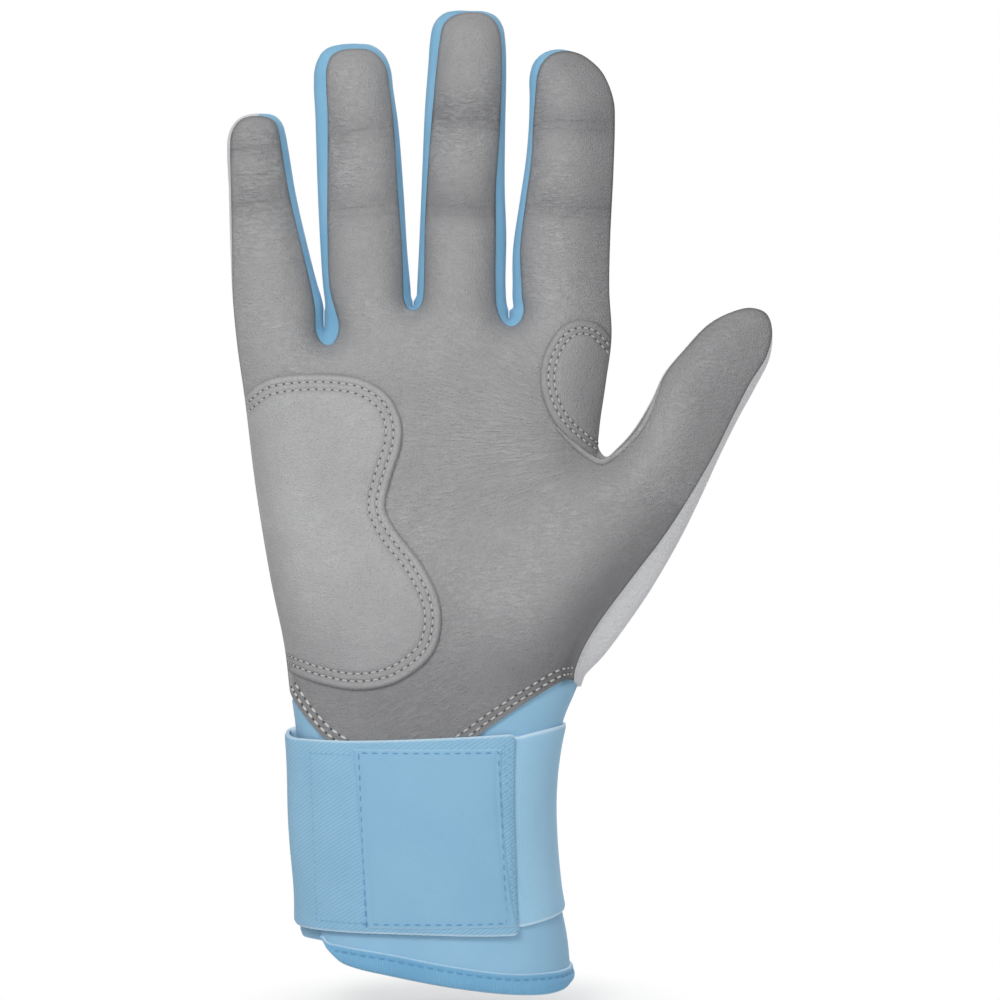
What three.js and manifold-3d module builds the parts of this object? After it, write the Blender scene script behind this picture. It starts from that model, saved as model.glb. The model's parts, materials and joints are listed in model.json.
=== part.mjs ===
// A right-hand batting glove with a long wrapped cuff, held fingers up as a hand holds it.
// Millimetres. +Z runs from the cuff to the fingertips, the palm faces -Y and the thumb points to +X.
// The origin is the middle of the cuff's mouth, where the hand goes in.

import * as THREE from "three";
import { mergeVertices } from "three/addons/utils/BufferGeometryUtils.js";
import Module from "manifold-3d";

const wasm = await Module();
wasm.setup();

// Thicknesses and clearances
const leather = 1.2; // wall of every panel that the hand fills
const seamGap = 0.3; // room between two pieces that are sewn or laid together
const foam = 1.5; // insert under the heel pad
const padLeather = 1.1; // overlay leather of the heel pad and the index patch
const bindingCloth = 1.0;
const loopPile = 1.2;
const hookPile = 1.0;
const webbing = 1.4; // strap band and strap tab
const patchRubber = 1.1;
const underlapCloth = 1.2;

// Seams that part the palm leather, the gussets and the back
const frontSeam = 3; // in front of the middle plane of the hand
const backSeam = 3.5; // behind it

// Mesh fineness and section shape
const limbSides = 16;
const palmSides = 28;
const squareness = 2.3; // 2 is an ellipse, higher is boxier
const domeSteps = [0.45, 0.75, 0.92];
const reach = 600; // half-spaces and cutting prisms run this far
const sliver = 0.015; // faces thinner than this are merged into their neighbours

// Fingers, from the root between the crotches to the tip. A lean is in degrees towards the thumb, widths
// are half widths, and a hinge is a distance from the root: stall base, middle knuckle, end knuckle.
const fingers = {
  index: {
    root: { x: 35.9, z: 184.4, half: 13.1, front: 10.5, back: 10.2 },
    middle: { share: 0.52, half: 11.9, front: 9.8, back: 9.4 },
    shoulder: { share: 0.82, half: 11.2, front: 9, back: 8.4 },
    length: 70,
    lean: 2.9,
    round: 11,
    hinges: [4.5, 27, 45],
    gussets: ["ulnar"],
  },
  middle: {
    root: { x: 8.9, z: 184.4, half: 12.1, front: 10.5, back: 10.2 },
    middle: { share: 0.5, half: 11.3, front: 9.8, back: 9.4 },
    shoulder: { share: 0.85, half: 10.5, front: 9, back: 8.4 },
    length: 81,
    lean: 1.9,
    round: 11,
    hinges: [6.5, 29.5, 54],
    gussets: ["ulnar", "radial"],
  },
  ring: {
    root: { x: -15.9, z: 184.4, half: 12, front: 10.3, back: 10 },
    middle: { share: 0.5, half: 11.4, front: 9.6, back: 9.2 },
    shoulder: { share: 0.84, half: 10.7, front: 8.8, back: 8.2 },
    length: 72,
    lean: -4.1,
    round: 10,
    hinges: [6, 27, 49],
    gussets: ["ulnar", "radial"],
  },
  pinky: {
    root: { x: -40.5, z: 182, half: 11.4, front: 9.8, back: 9.6 },
    middle: { share: 0.5, half: 9.6, front: 8.8, back: 8.4 },
    shoulder: { share: 0.8, half: 8.1, front: 7.8, back: 7.2 },
    length: 56,
    lean: -6.4,
    round: 8.5,
    hinges: [4.5, 29, 43.5],
    gussets: ["radial"],
  },
};
for (const spec of Object.values(fingers)) {
  const lean = THREE.MathUtils.degToRad(spec.lean);
  spec.tip = { x: spec.root.x + Math.sin(lean) * spec.length, z: spec.root.z + Math.cos(lean) * spec.length };
}
const rootSink = 16; // a finger tube starts this far down inside the palm
const rootCollar = 5; // and has its full section from this far down
const rootTaper = 0.7; // the section where it starts, as a share of the root

// Thumb, from the heel of the hand to its tip
const thumb = {
  heel: { x: 25, z: 84, half: 12, front: 11, back: 9 },
  mound: { x: 48.6, z: 119, half: 15.5, front: 14.5, back: 12 },
  root: { x: 59.4, z: 135.8, half: 12.9, front: 12, back: 10.5 },
  knuckle: { x: 74.5, z: 160.7, half: 11.2, front: 10.3, back: 9 },
  tip: { x: 89.1, z: 184.1 },
  round: 11,
  hinges: [3.8, 29],
};

// Hand and cuff outline, from the cuff's mouth to the finger roots
const handRows = [
  { z: -6, left: -34.5, right: 38.8, front: 24, back: 24 },
  { z: 14, left: -34.5, right: 37, front: 23.5, back: 23.5 },
  { z: 30, left: -33.8, right: 34.2, front: 22.5, back: 22.5 },
  { z: 55, left: -33.6, right: 33.4, front: 21.5, back: 21.5 },
  { z: 73, left: -35.9, right: 37.4, front: 20.5, back: 20 },
  { z: 85, left: -37.4, right: 41.2, front: 19, back: 17.5 },
  { z: 106, left: -40.8, right: 44, front: 17, back: 15.5 },
  { z: 128, left: -44.8, right: 46, front: 16, back: 14 },
  { z: 144, left: -46.7, right: 46.7, front: 15, back: 13.2 },
  { z: 160, left: -48.9, right: 47.3, front: 13.5, back: 12.4 },
  { z: 179, left: -51.2, right: 49.2, front: 10.9, back: 10.6 },
];

// Lower edges of the palm leather and of the back, left to right, where the cuff is sewn on
const palmEdge = [[-80, 96], [-37.4, 80.5], [-22, 69.5], [-3, 61.5], [11.6, 69.5], [40.5, 87.5], [80, 108]];
const backEdge = [[-80, 80], [-38, 80], [0, 76], [42, 83], [80, 88]];

// Hem of the cuff, left to right: the underlap's level end, then the flap's sweep to its low corner
const hemLine = [[-80, 15.3], [-28.6, 15.3], [-25.6, 10.3], [-20.3, 6.8], [-3, 2.2], [19.7, 0], [34, 0.6], [80, 3]];
const bindingHeight = 5.2;
const cuffJoin = 0.02; // the cuff's two halves run into each other this far, as one cloth
const flapSlit = { x: -28.8, width: 0.6, top: 62 };
const underlap = { left: -31, right: -6, low: 15.6, top: 60 };

// Wrist strap, as heights above the mouth and places across the palm side of the wrist
const band = { low: 22.4, high: 72.8, frontEnd: 22.6 };
const tab = { low: 20, high: 70.4, end: 23.8 };
const loopPad = { left: -24, low: 21.5, high: 69 };
const hookPad = { left: -14, right: 21.5, low: 22.5, high: 68 };
const patch = { left: -16.6, right: 20.8, low: 22.6, high: 67.3 };
const tabHingeY = 0; // the tab folds back at the wrist's little-finger side
const bandFold = 7; // the band is doubled this far behind the fold, where the tab is sewn on

// Outlines of the overlays sewn to the palm
const heelPadEdge = [
  [-60, 158], [-49, 160.5], [-37, 166], [-29, 166.8], [-20, 165.4], [-12, 161], [-7.6, 152.5],
  [-10, 140], [-11.3, 131.5], [-4.5, 117.5], [2.2, 106], [3.4, 95], [-2.6, 86], [-18, 82], [-36, 85.7], [-60, 87],
];
const heelFoamInset = 5.5;
const heelFoamLeft = -38;
const indexPatchEdge = [
  [52, 177], [47.6, 181], [41, 181], [34.4, 177], [30.5, 166], [32, 158.5], [36.5, 151.5], [43, 147], [50, 149.5],
];
const webFoot = 8; // the web gusset reaches this far below a crotch

const finish = (color, roughness) => new THREE.MeshStandardMaterial({ color, roughness, metalness: 0 });
const palmFinish = finish(0x8e8e8e, 0.5);
const overlayFinish = finish(0x979797, 0.55);
const backFinish = finish(0xc6c6c6, 0.6);
const gussetFinish = finish(0x78b0d8, 0.8);
const cuffFinish = finish(0x8ab8da, 0.85);
const bindingFinish = finish(0x6ea9d3, 0.8);
const strapFinish = finish(0x88b6d8, 0.85);
const patchFinish = finish(0x82b3d5, 0.45);
const pileFinish = finish(0x5f9cc8, 0.95);
const foamFinish = finish(0xe8e6df, 0.9);

const glove = new THREE.Group();
glove.name = "batting_glove";

function addPiece(name, body, material) {
  const { vertProperties, triVerts, numProp, numVert } = body.simplify(sliver).getMesh();
  const positions = new Float32Array(numVert * 3);
  for (let i = 0; i < numVert; i++) positions.set(vertProperties.subarray(i * numProp, i * numProp + 3), i * 3);
  const geometry = new THREE.BufferGeometry();
  geometry.setAttribute("position", new THREE.BufferAttribute(positions, 3));
  geometry.setIndex(new THREE.BufferAttribute(triVerts, 1));
  geometry.computeVertexNormals();
  const mesh = new THREE.Mesh(geometry, material);
  mesh.name = name;
  glove.add(mesh);
}

// A closed three.js geometry as a solid that can be joined and cut
function solidOf(geometry) {
  const bare = new THREE.BufferGeometry().setAttribute("position", geometry.getAttribute("position"));
  if (geometry.index) bare.setIndex(geometry.index);
  const merged = mergeVertices(bare, 1e-4);
  const vertProperties = new Float32Array(merged.getAttribute("position").array);
  const triVerts = new Uint32Array(merged.index.array);
  return new wasm.Manifold(new wasm.Mesh({ numProp: 3, vertProperties, triVerts }));
}

const joined = (solids) => solids.reduce((sum, next) => sum.add(next));

// Cutting tools

function slab(yLow, yHigh) {
  const box = new THREE.BoxGeometry(reach * 2, yHigh - yLow, reach * 2);
  return solidOf(box.translate(0, (yLow + yHigh) / 2, 0));
}

// Everything beyond a plane through a point, on the side that the direction in the XZ plane points to
function beyond(point, direction) {
  const box = new THREE.BoxGeometry(reach, reach, reach).translate(0, 0, reach / 2);
  box.rotateY(Math.atan2(direction.x, direction.z)).translate(point.x, 0, point.z);
  return solidOf(box);
}

// An outline in the XZ plane, run through the hand from one depth to another
function prism(outline, yLow, yHigh) {
  const shape = new THREE.Shape(outline.map(([x, z]) => new THREE.Vector2(x, z)));
  const geometry = new THREE.ExtrudeGeometry(shape, { depth: yHigh - yLow, bevelEnabled: false });
  return solidOf(geometry.rotateX(Math.PI / 2).translate(0, yHigh, 0));
}

const raise = (line, by) => line.map(([x, z]) => [x, z + by]);
const regionAbove = (line) => [...line, [line.at(-1)[0], reach], [line[0][0], reach]];
const regionBelow = (line) => [...line, [line.at(-1)[0], -reach], [line[0][0], -reach]];
const rectangle = (left, right, low, high) => [[left, low], [right, low], [right, high], [left, high]];

// A smooth closed outline through a few points, with an optional inset towards its middle line
function smoothOutline(points, inset = 0) {
  const curve = new THREE.SplineCurve(points.map(([x, z]) => new THREE.Vector2(x, z)));
  const samples = curve.getSpacedPoints(points.length * 3);
  const middle = samples.reduce((sum, p) => sum.add(p), new THREE.Vector2()).divideScalar(samples.length);
  return samples.map((p) => {
    const towards = middle.clone().sub(p).normalize().multiplyScalar(inset);
    return [p.x + towards.x, p.y + towards.y];
  });
}

// Hand-shaped lofts

// One section across a limb: half wide each way along the unit vector across, front and back deep
function ring(station, across, grow, scale, sides) {
  const points = [];
  for (let i = 0; i < sides; i++) {
    const angle = (2 * Math.PI * i) / sides;
    const c = Math.cos(angle);
    const s = Math.sin(angle);
    const round = (Math.abs(c) ** squareness + Math.abs(s) ** squareness) ** (-1 / squareness);
    const depth = (s < 0 ? station.front : station.back) + grow;
    const side = c * round * (station.half + grow) * scale;
    points.push([station.x + across.x * side, s * round * depth * scale, station.z + across.z * side]);
  }
  return points;
}

function loft(rings) {
  const sides = rings[0].length;
  const last = rings.length - 1;
  const middleOf = (points) => [0, 1, 2].map((k) => points.reduce((sum, p) => sum + p[k], 0) / points.length);
  const positions = [...rings.flat(), middleOf(rings[0]), middleOf(rings[last])].flat();
  const foot = rings.length * sides;
  const faces = [];
  for (let i = 0; i < sides; i++) {
    const next = (i + 1) % sides;
    faces.push(foot, next, i, foot + 1, last * sides + i, last * sides + next);
    for (let r = 0; r < last; r++) {
      const low = r * sides;
      const high = low + sides;
      faces.push(low + i, low + next, high + next, low + i, high + next, high + i);
    }
  }
  const geometry = new THREE.BufferGeometry();
  geometry.setAttribute("position", new THREE.Float32BufferAttribute(positions, 3));
  geometry.setIndex(faces);
  return solidOf(geometry);
}

const directionTo = (from, to) => new THREE.Vector3(to.x - from.x, 0, to.z - from.z).normalize();
const acrossOf = (direction) => new THREE.Vector3(direction.z, 0, -direction.x);
const along = (from, direction, distance) => ({
  ...from,
  x: from.x + direction.x * distance,
  z: from.z + direction.z * distance,
});

// A limb through its stations, closed by a round tip
function limb(stations, tip, round, grow) {
  const shoulder = stations.at(-1);
  const rings = stations.map((station, i) => {
    const before = stations[Math.max(i - 1, 0)];
    const after = stations[i + 1] ?? tip;
    const direction = directionTo(before, after);
    return ring(station, acrossOf(direction), grow, 1, limbSides);
  });
  const direction = directionTo(shoulder, tip);
  const domeFoot = along({ ...shoulder, x: tip.x, z: tip.z }, direction, grow - round);
  const turns = [0, ...domeSteps, 0.99];
  for (const turn of turns) {
    const scale = Math.sqrt(1 - turn ** 2.4);
    rings.push(ring(along(domeFoot, direction, turn * round), acrossOf(direction), grow, scale, limbSides));
  }
  return loft(rings);
}

function fingerStations({ root, middle, shoulder, tip }) {
  const direction = directionTo(root, tip);
  const length = Math.hypot(tip.x - root.x, tip.z - root.z);
  const onAxis = (station) => along({ ...station, x: root.x, z: root.z }, direction, station.share * length);
  const sunk = { half: root.half * rootTaper, front: root.front * rootTaper, back: root.back * rootTaper };
  const start = { ...along(root, direction, -rootSink), ...sunk };
  return [start, along(root, direction, -rootCollar), root, onAxis(middle), onAxis(shoulder)];
}

const fingerLoft = (spec, grow) => limb(fingerStations(spec), spec.tip, spec.round, grow);
const thumbStations = [thumb.heel, thumb.mound, thumb.root, thumb.knuckle];
const thumbLoft = (grow) => limb(thumbStations, thumb.tip, thumb.round, grow);

function handLoft(grow) {
  const up = new THREE.Vector3(1, 0, 0);
  const rings = handRows.map(({ z, left, right, front, back }, i) => {
    const top = i === handRows.length - 1 ? grow : 0;
    const station = { x: (left + right) / 2, z: z + top, half: (right - left) / 2, front, back };
    return ring(station, up, grow, 1, palmSides);
  });
  return loft(rings);
}

// Hinge planes: each limb's own direction and the points where it bends
function hingesOf(root, tip, distances) {
  const direction = directionTo(root, tip);
  return { direction, points: distances.map((distance) => along(root, direction, distance)) };
}

const halfGap = seamGap / 2;
const fromHinge = ({ direction, points }, i) => beyond(along(points[i], direction, halfGap), direction);
const pastHinge = ({ direction, points }, i) => beyond(along(points[i], direction, -halfGap), direction);

// Depth ranges of the three kinds of panel
const palmSide = slab(-reach, -frontSeam - halfGap);
const rearSide = slab(-frontSeam + halfGap, reach);
const gussetDepth = slab(-frontSeam + halfGap, backSeam - halfGap);
const gussetRoom = slab(-frontSeam - halfGap, backSeam + halfGap);

const segmentNames = ["base", "mid", "tip"];
const sideSign = { ulnar: -1, radial: 1 };

// The half of a finger on one side of its middle line, grown by a margin
function fingerSide(spec, side, margin) {
  const direction = directionTo(spec.root, spec.tip);
  const outward = acrossOf(direction).multiplyScalar(sideSign[side]);
  return beyond(along(spec.root, outward, -margin), outward);
}

// A finger is cut at its hinges, and each length into palm leather, back leather and gusset cloth.
// The two gussets of a fingertip meet over the tip as one piece.
function addFinger(name, spec) {
  const shell = fingerLoft(spec, 0).subtract(fingerLoft(spec, -leather));
  const hinges = hingesOf(spec.root, spec.tip, spec.hinges);
  segmentNames.forEach((segment, i) => {
    const isTip = i === segmentNames.length - 1;
    const from = shell.intersect(fromHinge(hinges, i));
    const length = isTip ? from : from.subtract(pastHinge(hinges, i + 1));
    const both = spec.gussets.length === 2;
    let back = length.intersect(rearSide);
    const sides = isTip && both ? ["whole"] : spec.gussets;
    for (const side of sides) {
      const inside = side === "whole" ? gussetDepth : gussetDepth.intersect(fingerSide(spec, side, -halfGap));
      const room = side === "whole" ? gussetRoom : gussetRoom.intersect(fingerSide(spec, side, halfGap));
      const label = isTip ? "gusset" : `gusset_${side}`;
      addPiece(`${name}_${segment}_${label}`, length.intersect(inside), gussetFinish);
      back = back.subtract(room);
    }
    addPiece(`${name}_${segment}_palm`, length.intersect(palmSide), palmFinish);
    addPiece(`${name}_${segment}_back`, back, backFinish);
  });
}

const thumbHinges = hingesOf(thumb.root, thumb.tip, thumb.hinges);

function addThumb() {
  const shell = thumbLoft(0).subtract(thumbLoft(-leather));
  const base = shell.intersect(fromHinge(thumbHinges, 0)).subtract(pastHinge(thumbHinges, 1));
  const tip = shell.intersect(fromHinge(thumbHinges, 1));
  for (const [segment, length] of [["base", base], ["tip", tip]]) {
    addPiece(`thumb_${segment}_palm`, length.intersect(palmSide), palmFinish);
    addPiece(`thumb_${segment}_back`, length.intersect(rearSide), backFinish);
  }
}

// The hand below the finger and thumb hinges, as one hollow shell
function handShell() {
  const stubs = Object.values(fingers).map((spec) => {
    const hinges = hingesOf(spec.root, spec.tip, spec.hinges);
    return fingerLoft(spec, 0).subtract(pastHinge(hinges, 0));
  });
  const thumbStub = thumbLoft(0).subtract(pastHinge(thumbHinges, 0));
  const outer = joined([handLoft(0), thumbStub, ...stubs]);
  const tubes = Object.values(fingers).map((spec) => fingerLoft(spec, -leather));
  return outer.subtract(joined([handLoft(-leather), thumbLoft(-leather), ...tubes]));
}

// Webs: the crotch of each pair of fingers, between their middle lines
function webOutline(left, right, margin) {
  const leftUp = directionTo(left.root, left.tip);
  const rightUp = directionTo(right.root, right.tip);
  const foot = Math.min(left.root.z, right.root.z) - webFoot - margin;
  const height = rootSink * 2;
  const leftTop = along(left.root, leftUp, height);
  const rightTop = along(right.root, rightUp, height);
  return [
    [left.root.x - margin, foot],
    [right.root.x + margin, foot],
    [rightTop.x + margin, rightTop.z],
    [leftTop.x - margin, leftTop.z],
  ];
}

const fingerPairs = [["pinky", "ring"], ["ring", "middle"], ["middle", "index"]];

function addHand() {
  const shell = handShell();
  let back = shell.intersect(rearSide).intersect(prism(regionAbove(backEdge), -reach, reach));
  for (const [left, right] of fingerPairs) {
    const outline = (margin) => webOutline(fingers[left], fingers[right], margin);
    const inside = prism(outline(-halfGap), -frontSeam + halfGap, backSeam - halfGap);
    const room = prism(outline(halfGap), -frontSeam - halfGap, backSeam + halfGap);
    addPiece(`web_${left}_${right}`, shell.intersect(inside), gussetFinish);
    back = back.subtract(room);
  }
  const palm = shell.intersect(palmSide).intersect(prism(regionAbove(palmEdge), -reach, reach));
  addPiece("palm_leather", palm, palmFinish);
  addPiece("back_of_hand", back, backFinish);

  const frontCuff = prism(regionBelow(raise(palmEdge, -seamGap)), -reach, -frontSeam);
  const rearCuff = prism(regionBelow(raise(backEdge, -seamGap)), -frontSeam - cuffJoin, reach);
  const slitOutline = rectangle(flapSlit.x - flapSlit.width / 2, flapSlit.x + flapSlit.width / 2, -reach, flapSlit.top);
  const slit = prism(slitOutline, -reach, -frontSeam);
  const aboveHem = prism(regionAbove(hemLine), -reach, reach);
  const cuff = shell.intersect(frontCuff.add(rearCuff)).intersect(aboveHem).subtract(slit);
  addPiece("cuff_wrap", cuff, cuffFinish);

  const bandOutline = [...hemLine, ...raise(hemLine, bindingHeight).reverse()];
  const binding = layer(seamGap, bindingCloth).intersect(prism(bandOutline, -reach, reach)).subtract(slit);
  addPiece("hem_binding", binding, bindingFinish);

  const under = layer(-leather - seamGap - underlapCloth, underlapCloth);
  const underlapArea = rectangle(underlap.left, underlap.right, underlap.low, underlap.top);
  addPiece("cuff_underlap", under.intersect(prism(underlapArea, -reach, -frontSeam)), cuffFinish);
}

// A sheet of cloth that lies a given height off the hand's surface
const layer = (height, thickness) => handLoft(height + thickness).subtract(handLoft(height));

// The same over the whole hand, with its thumb and index finger
const handSkin = (grow) => joined([handLoft(grow), thumbLoft(grow), fingerLoft(fingers.index, grow)]);
const cover = (height, thickness) => handSkin(height + thickness).subtract(handSkin(height));

// Overlays on the palm: the heel pad holds its foam like a tray, and the patch guards the thumb crotch
function addOverlays() {
  const overPalm = slab(-reach, -frontSeam - halfGap);
  const area = prism(smoothOutline(heelPadEdge), -reach, 0).intersect(overPalm);
  const insert = (margin) => {
    const outline = prism(smoothOutline(heelPadEdge, heelFoamInset - margin), -reach, 0);
    return outline.intersect(prism(rectangle(heelFoamLeft - margin, reach, -reach, reach), -reach, 0));
  };
  const foamArea = insert(0);
  const foamRoom = insert(seamGap);
  const pocket = cover(0, seamGap + foam + seamGap).intersect(foamRoom);
  const pad = cover(seamGap, foam + seamGap + padLeather).intersect(area).subtract(pocket);
  addPiece("heel_pad", pad, overlayFinish);
  addPiece("heel_pad_foam", cover(seamGap, foam).intersect(foamArea), foamFinish);

  const indexArea = prism(smoothOutline(indexPatchEdge), -reach, 0).intersect(overPalm);
  const indexSkin = (grow) => handLoft(grow).add(fingerLoft(fingers.index, grow));
  const indexCover = indexSkin(seamGap + padLeather).subtract(indexSkin(seamGap)).subtract(thumbLoft(seamGap));
  addPiece("index_patch", indexCover.intersect(indexArea), overlayFinish);
}

// Strap: an elastic band round the back of the wrist, and a tab that folds over the palm side and
// grips the loop pad with its hook pad. Layers stack outwards from the cuff.
function addStrap() {
  const loopHeight = seamGap;
  const hookHeight = loopHeight + loopPile + seamGap;
  const tabHeight = hookHeight + hookPile + seamGap;
  const patchHeight = tabHeight + webbing + seamGap;
  const palmFace = slab(-reach, tabHingeY - halfGap);
  const onPalm = (left, right, { low, high }) => prism(rectangle(left, right, low, high), -reach, tabHingeY - halfGap);

  const aroundBack = slab(tabHingeY + halfGap, reach);
  const frontEnd = prism(rectangle(band.frontEnd, reach, -reach, reach), -reach, reach);
  const bandHeights = prism(rectangle(-reach, reach, band.low, band.high), -reach, reach);
  const bandRoute = bandHeights.intersect(aroundBack.add(frontEnd));
  const foldArea = prism(rectangle(-reach, 0, band.low, tab.high), tabHingeY + halfGap, tabHingeY + bandFold);
  const fold = layer(loopHeight, tabHeight + webbing - loopHeight).intersect(foldArea);
  addPiece("strap_band", layer(loopHeight, webbing).intersect(bandRoute).add(fold), strapFinish);

  const loopArea = onPalm(loopPad.left, band.frontEnd - seamGap, loopPad);
  addPiece("loop_pad", layer(loopHeight, loopPile).intersect(loopArea), pileFinish);
  addPiece("hook_pad", layer(hookHeight, hookPile).intersect(onPalm(hookPad.left, hookPad.right, hookPad)), pileFinish);
  const tabArea = onPalm(-reach, tab.end, tab).intersect(palmFace);
  addPiece("strap_tab", layer(tabHeight, webbing).intersect(tabArea), strapFinish);
  addPiece("strap_patch", layer(patchHeight, patchRubber).intersect(onPalm(patch.left, patch.right, patch)), patchFinish);
}

addHand();
for (const [name, spec] of Object.entries(fingers)) addFinger(name, spec);
addThumb();
addOverlays();
addStrap();

export default glove;
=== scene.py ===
import json
import math

import bpy
import numpy as np
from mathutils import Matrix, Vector, noise
from mathutils.bvhtree import BVHTree
from mathutils.geometry import delaunay_2d_cdt


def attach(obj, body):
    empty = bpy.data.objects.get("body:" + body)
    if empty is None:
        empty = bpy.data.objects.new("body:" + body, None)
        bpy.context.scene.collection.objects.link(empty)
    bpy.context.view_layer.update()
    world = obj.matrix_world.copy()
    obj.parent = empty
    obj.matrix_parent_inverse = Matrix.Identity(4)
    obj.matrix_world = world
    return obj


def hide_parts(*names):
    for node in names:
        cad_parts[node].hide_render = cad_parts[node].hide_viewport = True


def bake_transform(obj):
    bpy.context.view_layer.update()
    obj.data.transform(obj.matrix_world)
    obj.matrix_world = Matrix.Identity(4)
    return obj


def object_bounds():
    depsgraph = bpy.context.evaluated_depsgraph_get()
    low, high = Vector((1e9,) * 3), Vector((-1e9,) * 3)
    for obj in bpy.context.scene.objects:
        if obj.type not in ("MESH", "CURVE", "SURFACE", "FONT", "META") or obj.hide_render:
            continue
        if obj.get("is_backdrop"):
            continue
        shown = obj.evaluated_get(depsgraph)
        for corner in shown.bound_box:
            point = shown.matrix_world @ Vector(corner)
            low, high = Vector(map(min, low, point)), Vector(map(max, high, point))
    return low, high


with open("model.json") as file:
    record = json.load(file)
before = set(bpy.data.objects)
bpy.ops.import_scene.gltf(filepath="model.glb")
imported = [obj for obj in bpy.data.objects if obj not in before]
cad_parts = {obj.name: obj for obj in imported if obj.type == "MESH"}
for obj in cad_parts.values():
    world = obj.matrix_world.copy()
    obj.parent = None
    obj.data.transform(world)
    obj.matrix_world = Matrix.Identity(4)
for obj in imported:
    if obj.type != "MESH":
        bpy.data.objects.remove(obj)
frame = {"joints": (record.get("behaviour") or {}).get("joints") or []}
cadLow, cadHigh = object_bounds()
hinges = {joint["name"]: joint for joint in frame["joints"]}
mm = 0.001
print("frame loaded")


def addObject(name, data):
    made = bpy.data.objects.new(name, data)
    bpy.context.scene.collection.objects.link(made)
    return made


# Shader maths: a wrapped socket that adds its own nodes
class Socket:
    def __init__(self, tree, output):
        self.tree = tree
        self.output = output

    def node(self, kind, settings=None, sockets=None, out=0):
        made = self.tree.nodes.new(kind)
        for name, value in (settings or {}).items():
            setattr(made, name, value)
        for name, value in (sockets or {}).items():
            if isinstance(value, Socket):
                self.tree.links.new(value.output, made.inputs[name])
            else:
                made.inputs[name].default_value = value
        return Socket(self.tree, made.outputs[out])

    def math(self, operation, first, second=0.0):
        return self.node("ShaderNodeMath", {"operation": operation}, {0: first, 1: second})

    def __add__(self, other):
        return self.math("ADD", self, other)

    def __sub__(self, other):
        return self.math("SUBTRACT", self, other)

    def __rsub__(self, other):
        return self.math("SUBTRACT", other, self)

    def __mul__(self, other):
        return self.math("MULTIPLY", self, other)

    __radd__ = __add__
    __rmul__ = __mul__

    def sine(self):
        return self.math("SINE", self)

    def between(self, low, high):
        sockets = {"Value": self, "From Min": low, "From Max": high}
        return self.node("ShaderNodeMapRange", {"interpolation_type": "SMOOTHSTEP"}, sockets)

    def mixed(self, first, second):
        return self.node("ShaderNodeMix", {"data_type": "RGBA"}, {0: self, 6: first, 7: second}, 2)


def paint(red, green, blue):
    linear = [(c / 255 / 12.92) if c < 11 else ((c / 255 + 0.055) / 1.055) ** 2.4 for c in (red, green, blue)]
    return (*linear, 1.0)


def newMaterial(name):
    material = bpy.data.materials.new(name)
    material.use_nodes = True
    tree = material.node_tree
    shader = tree.nodes["Principled BSDF"]
    place = Socket(tree, tree.nodes.new("ShaderNodeTexCoord").outputs["Object"])
    return material, shader, place


def finishMaterial(shader, place, colour, roughness, height, depth):
    tree = place.tree
    bump = place.node("ShaderNodeBump", {}, {"Height": height, "Distance": depth, "Strength": 1.0})
    tree.links.new(bump.output, shader.inputs["Normal"])
    for value, name in ((colour, "Base Color"), (roughness, "Roughness")):
        if isinstance(value, Socket):
            tree.links.new(value.output, shader.inputs[name])
        else:
            shader.inputs[name].default_value = value


def speckle(place, scale, detail, at=None, **more):
    sockets = {"Vector": at or place, "Scale": scale, "Detail": detail, **more}
    return place.node("ShaderNodeTexNoise", {}, sockets)


def painted(place, name):
    return place.node("ShaderNodeAttribute", {"attribute_name": name}, None, 2)


def partOf(vector, axis):
    return vector.node("ShaderNodeSeparateXYZ", {}, {0: vector}, axis)


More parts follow.
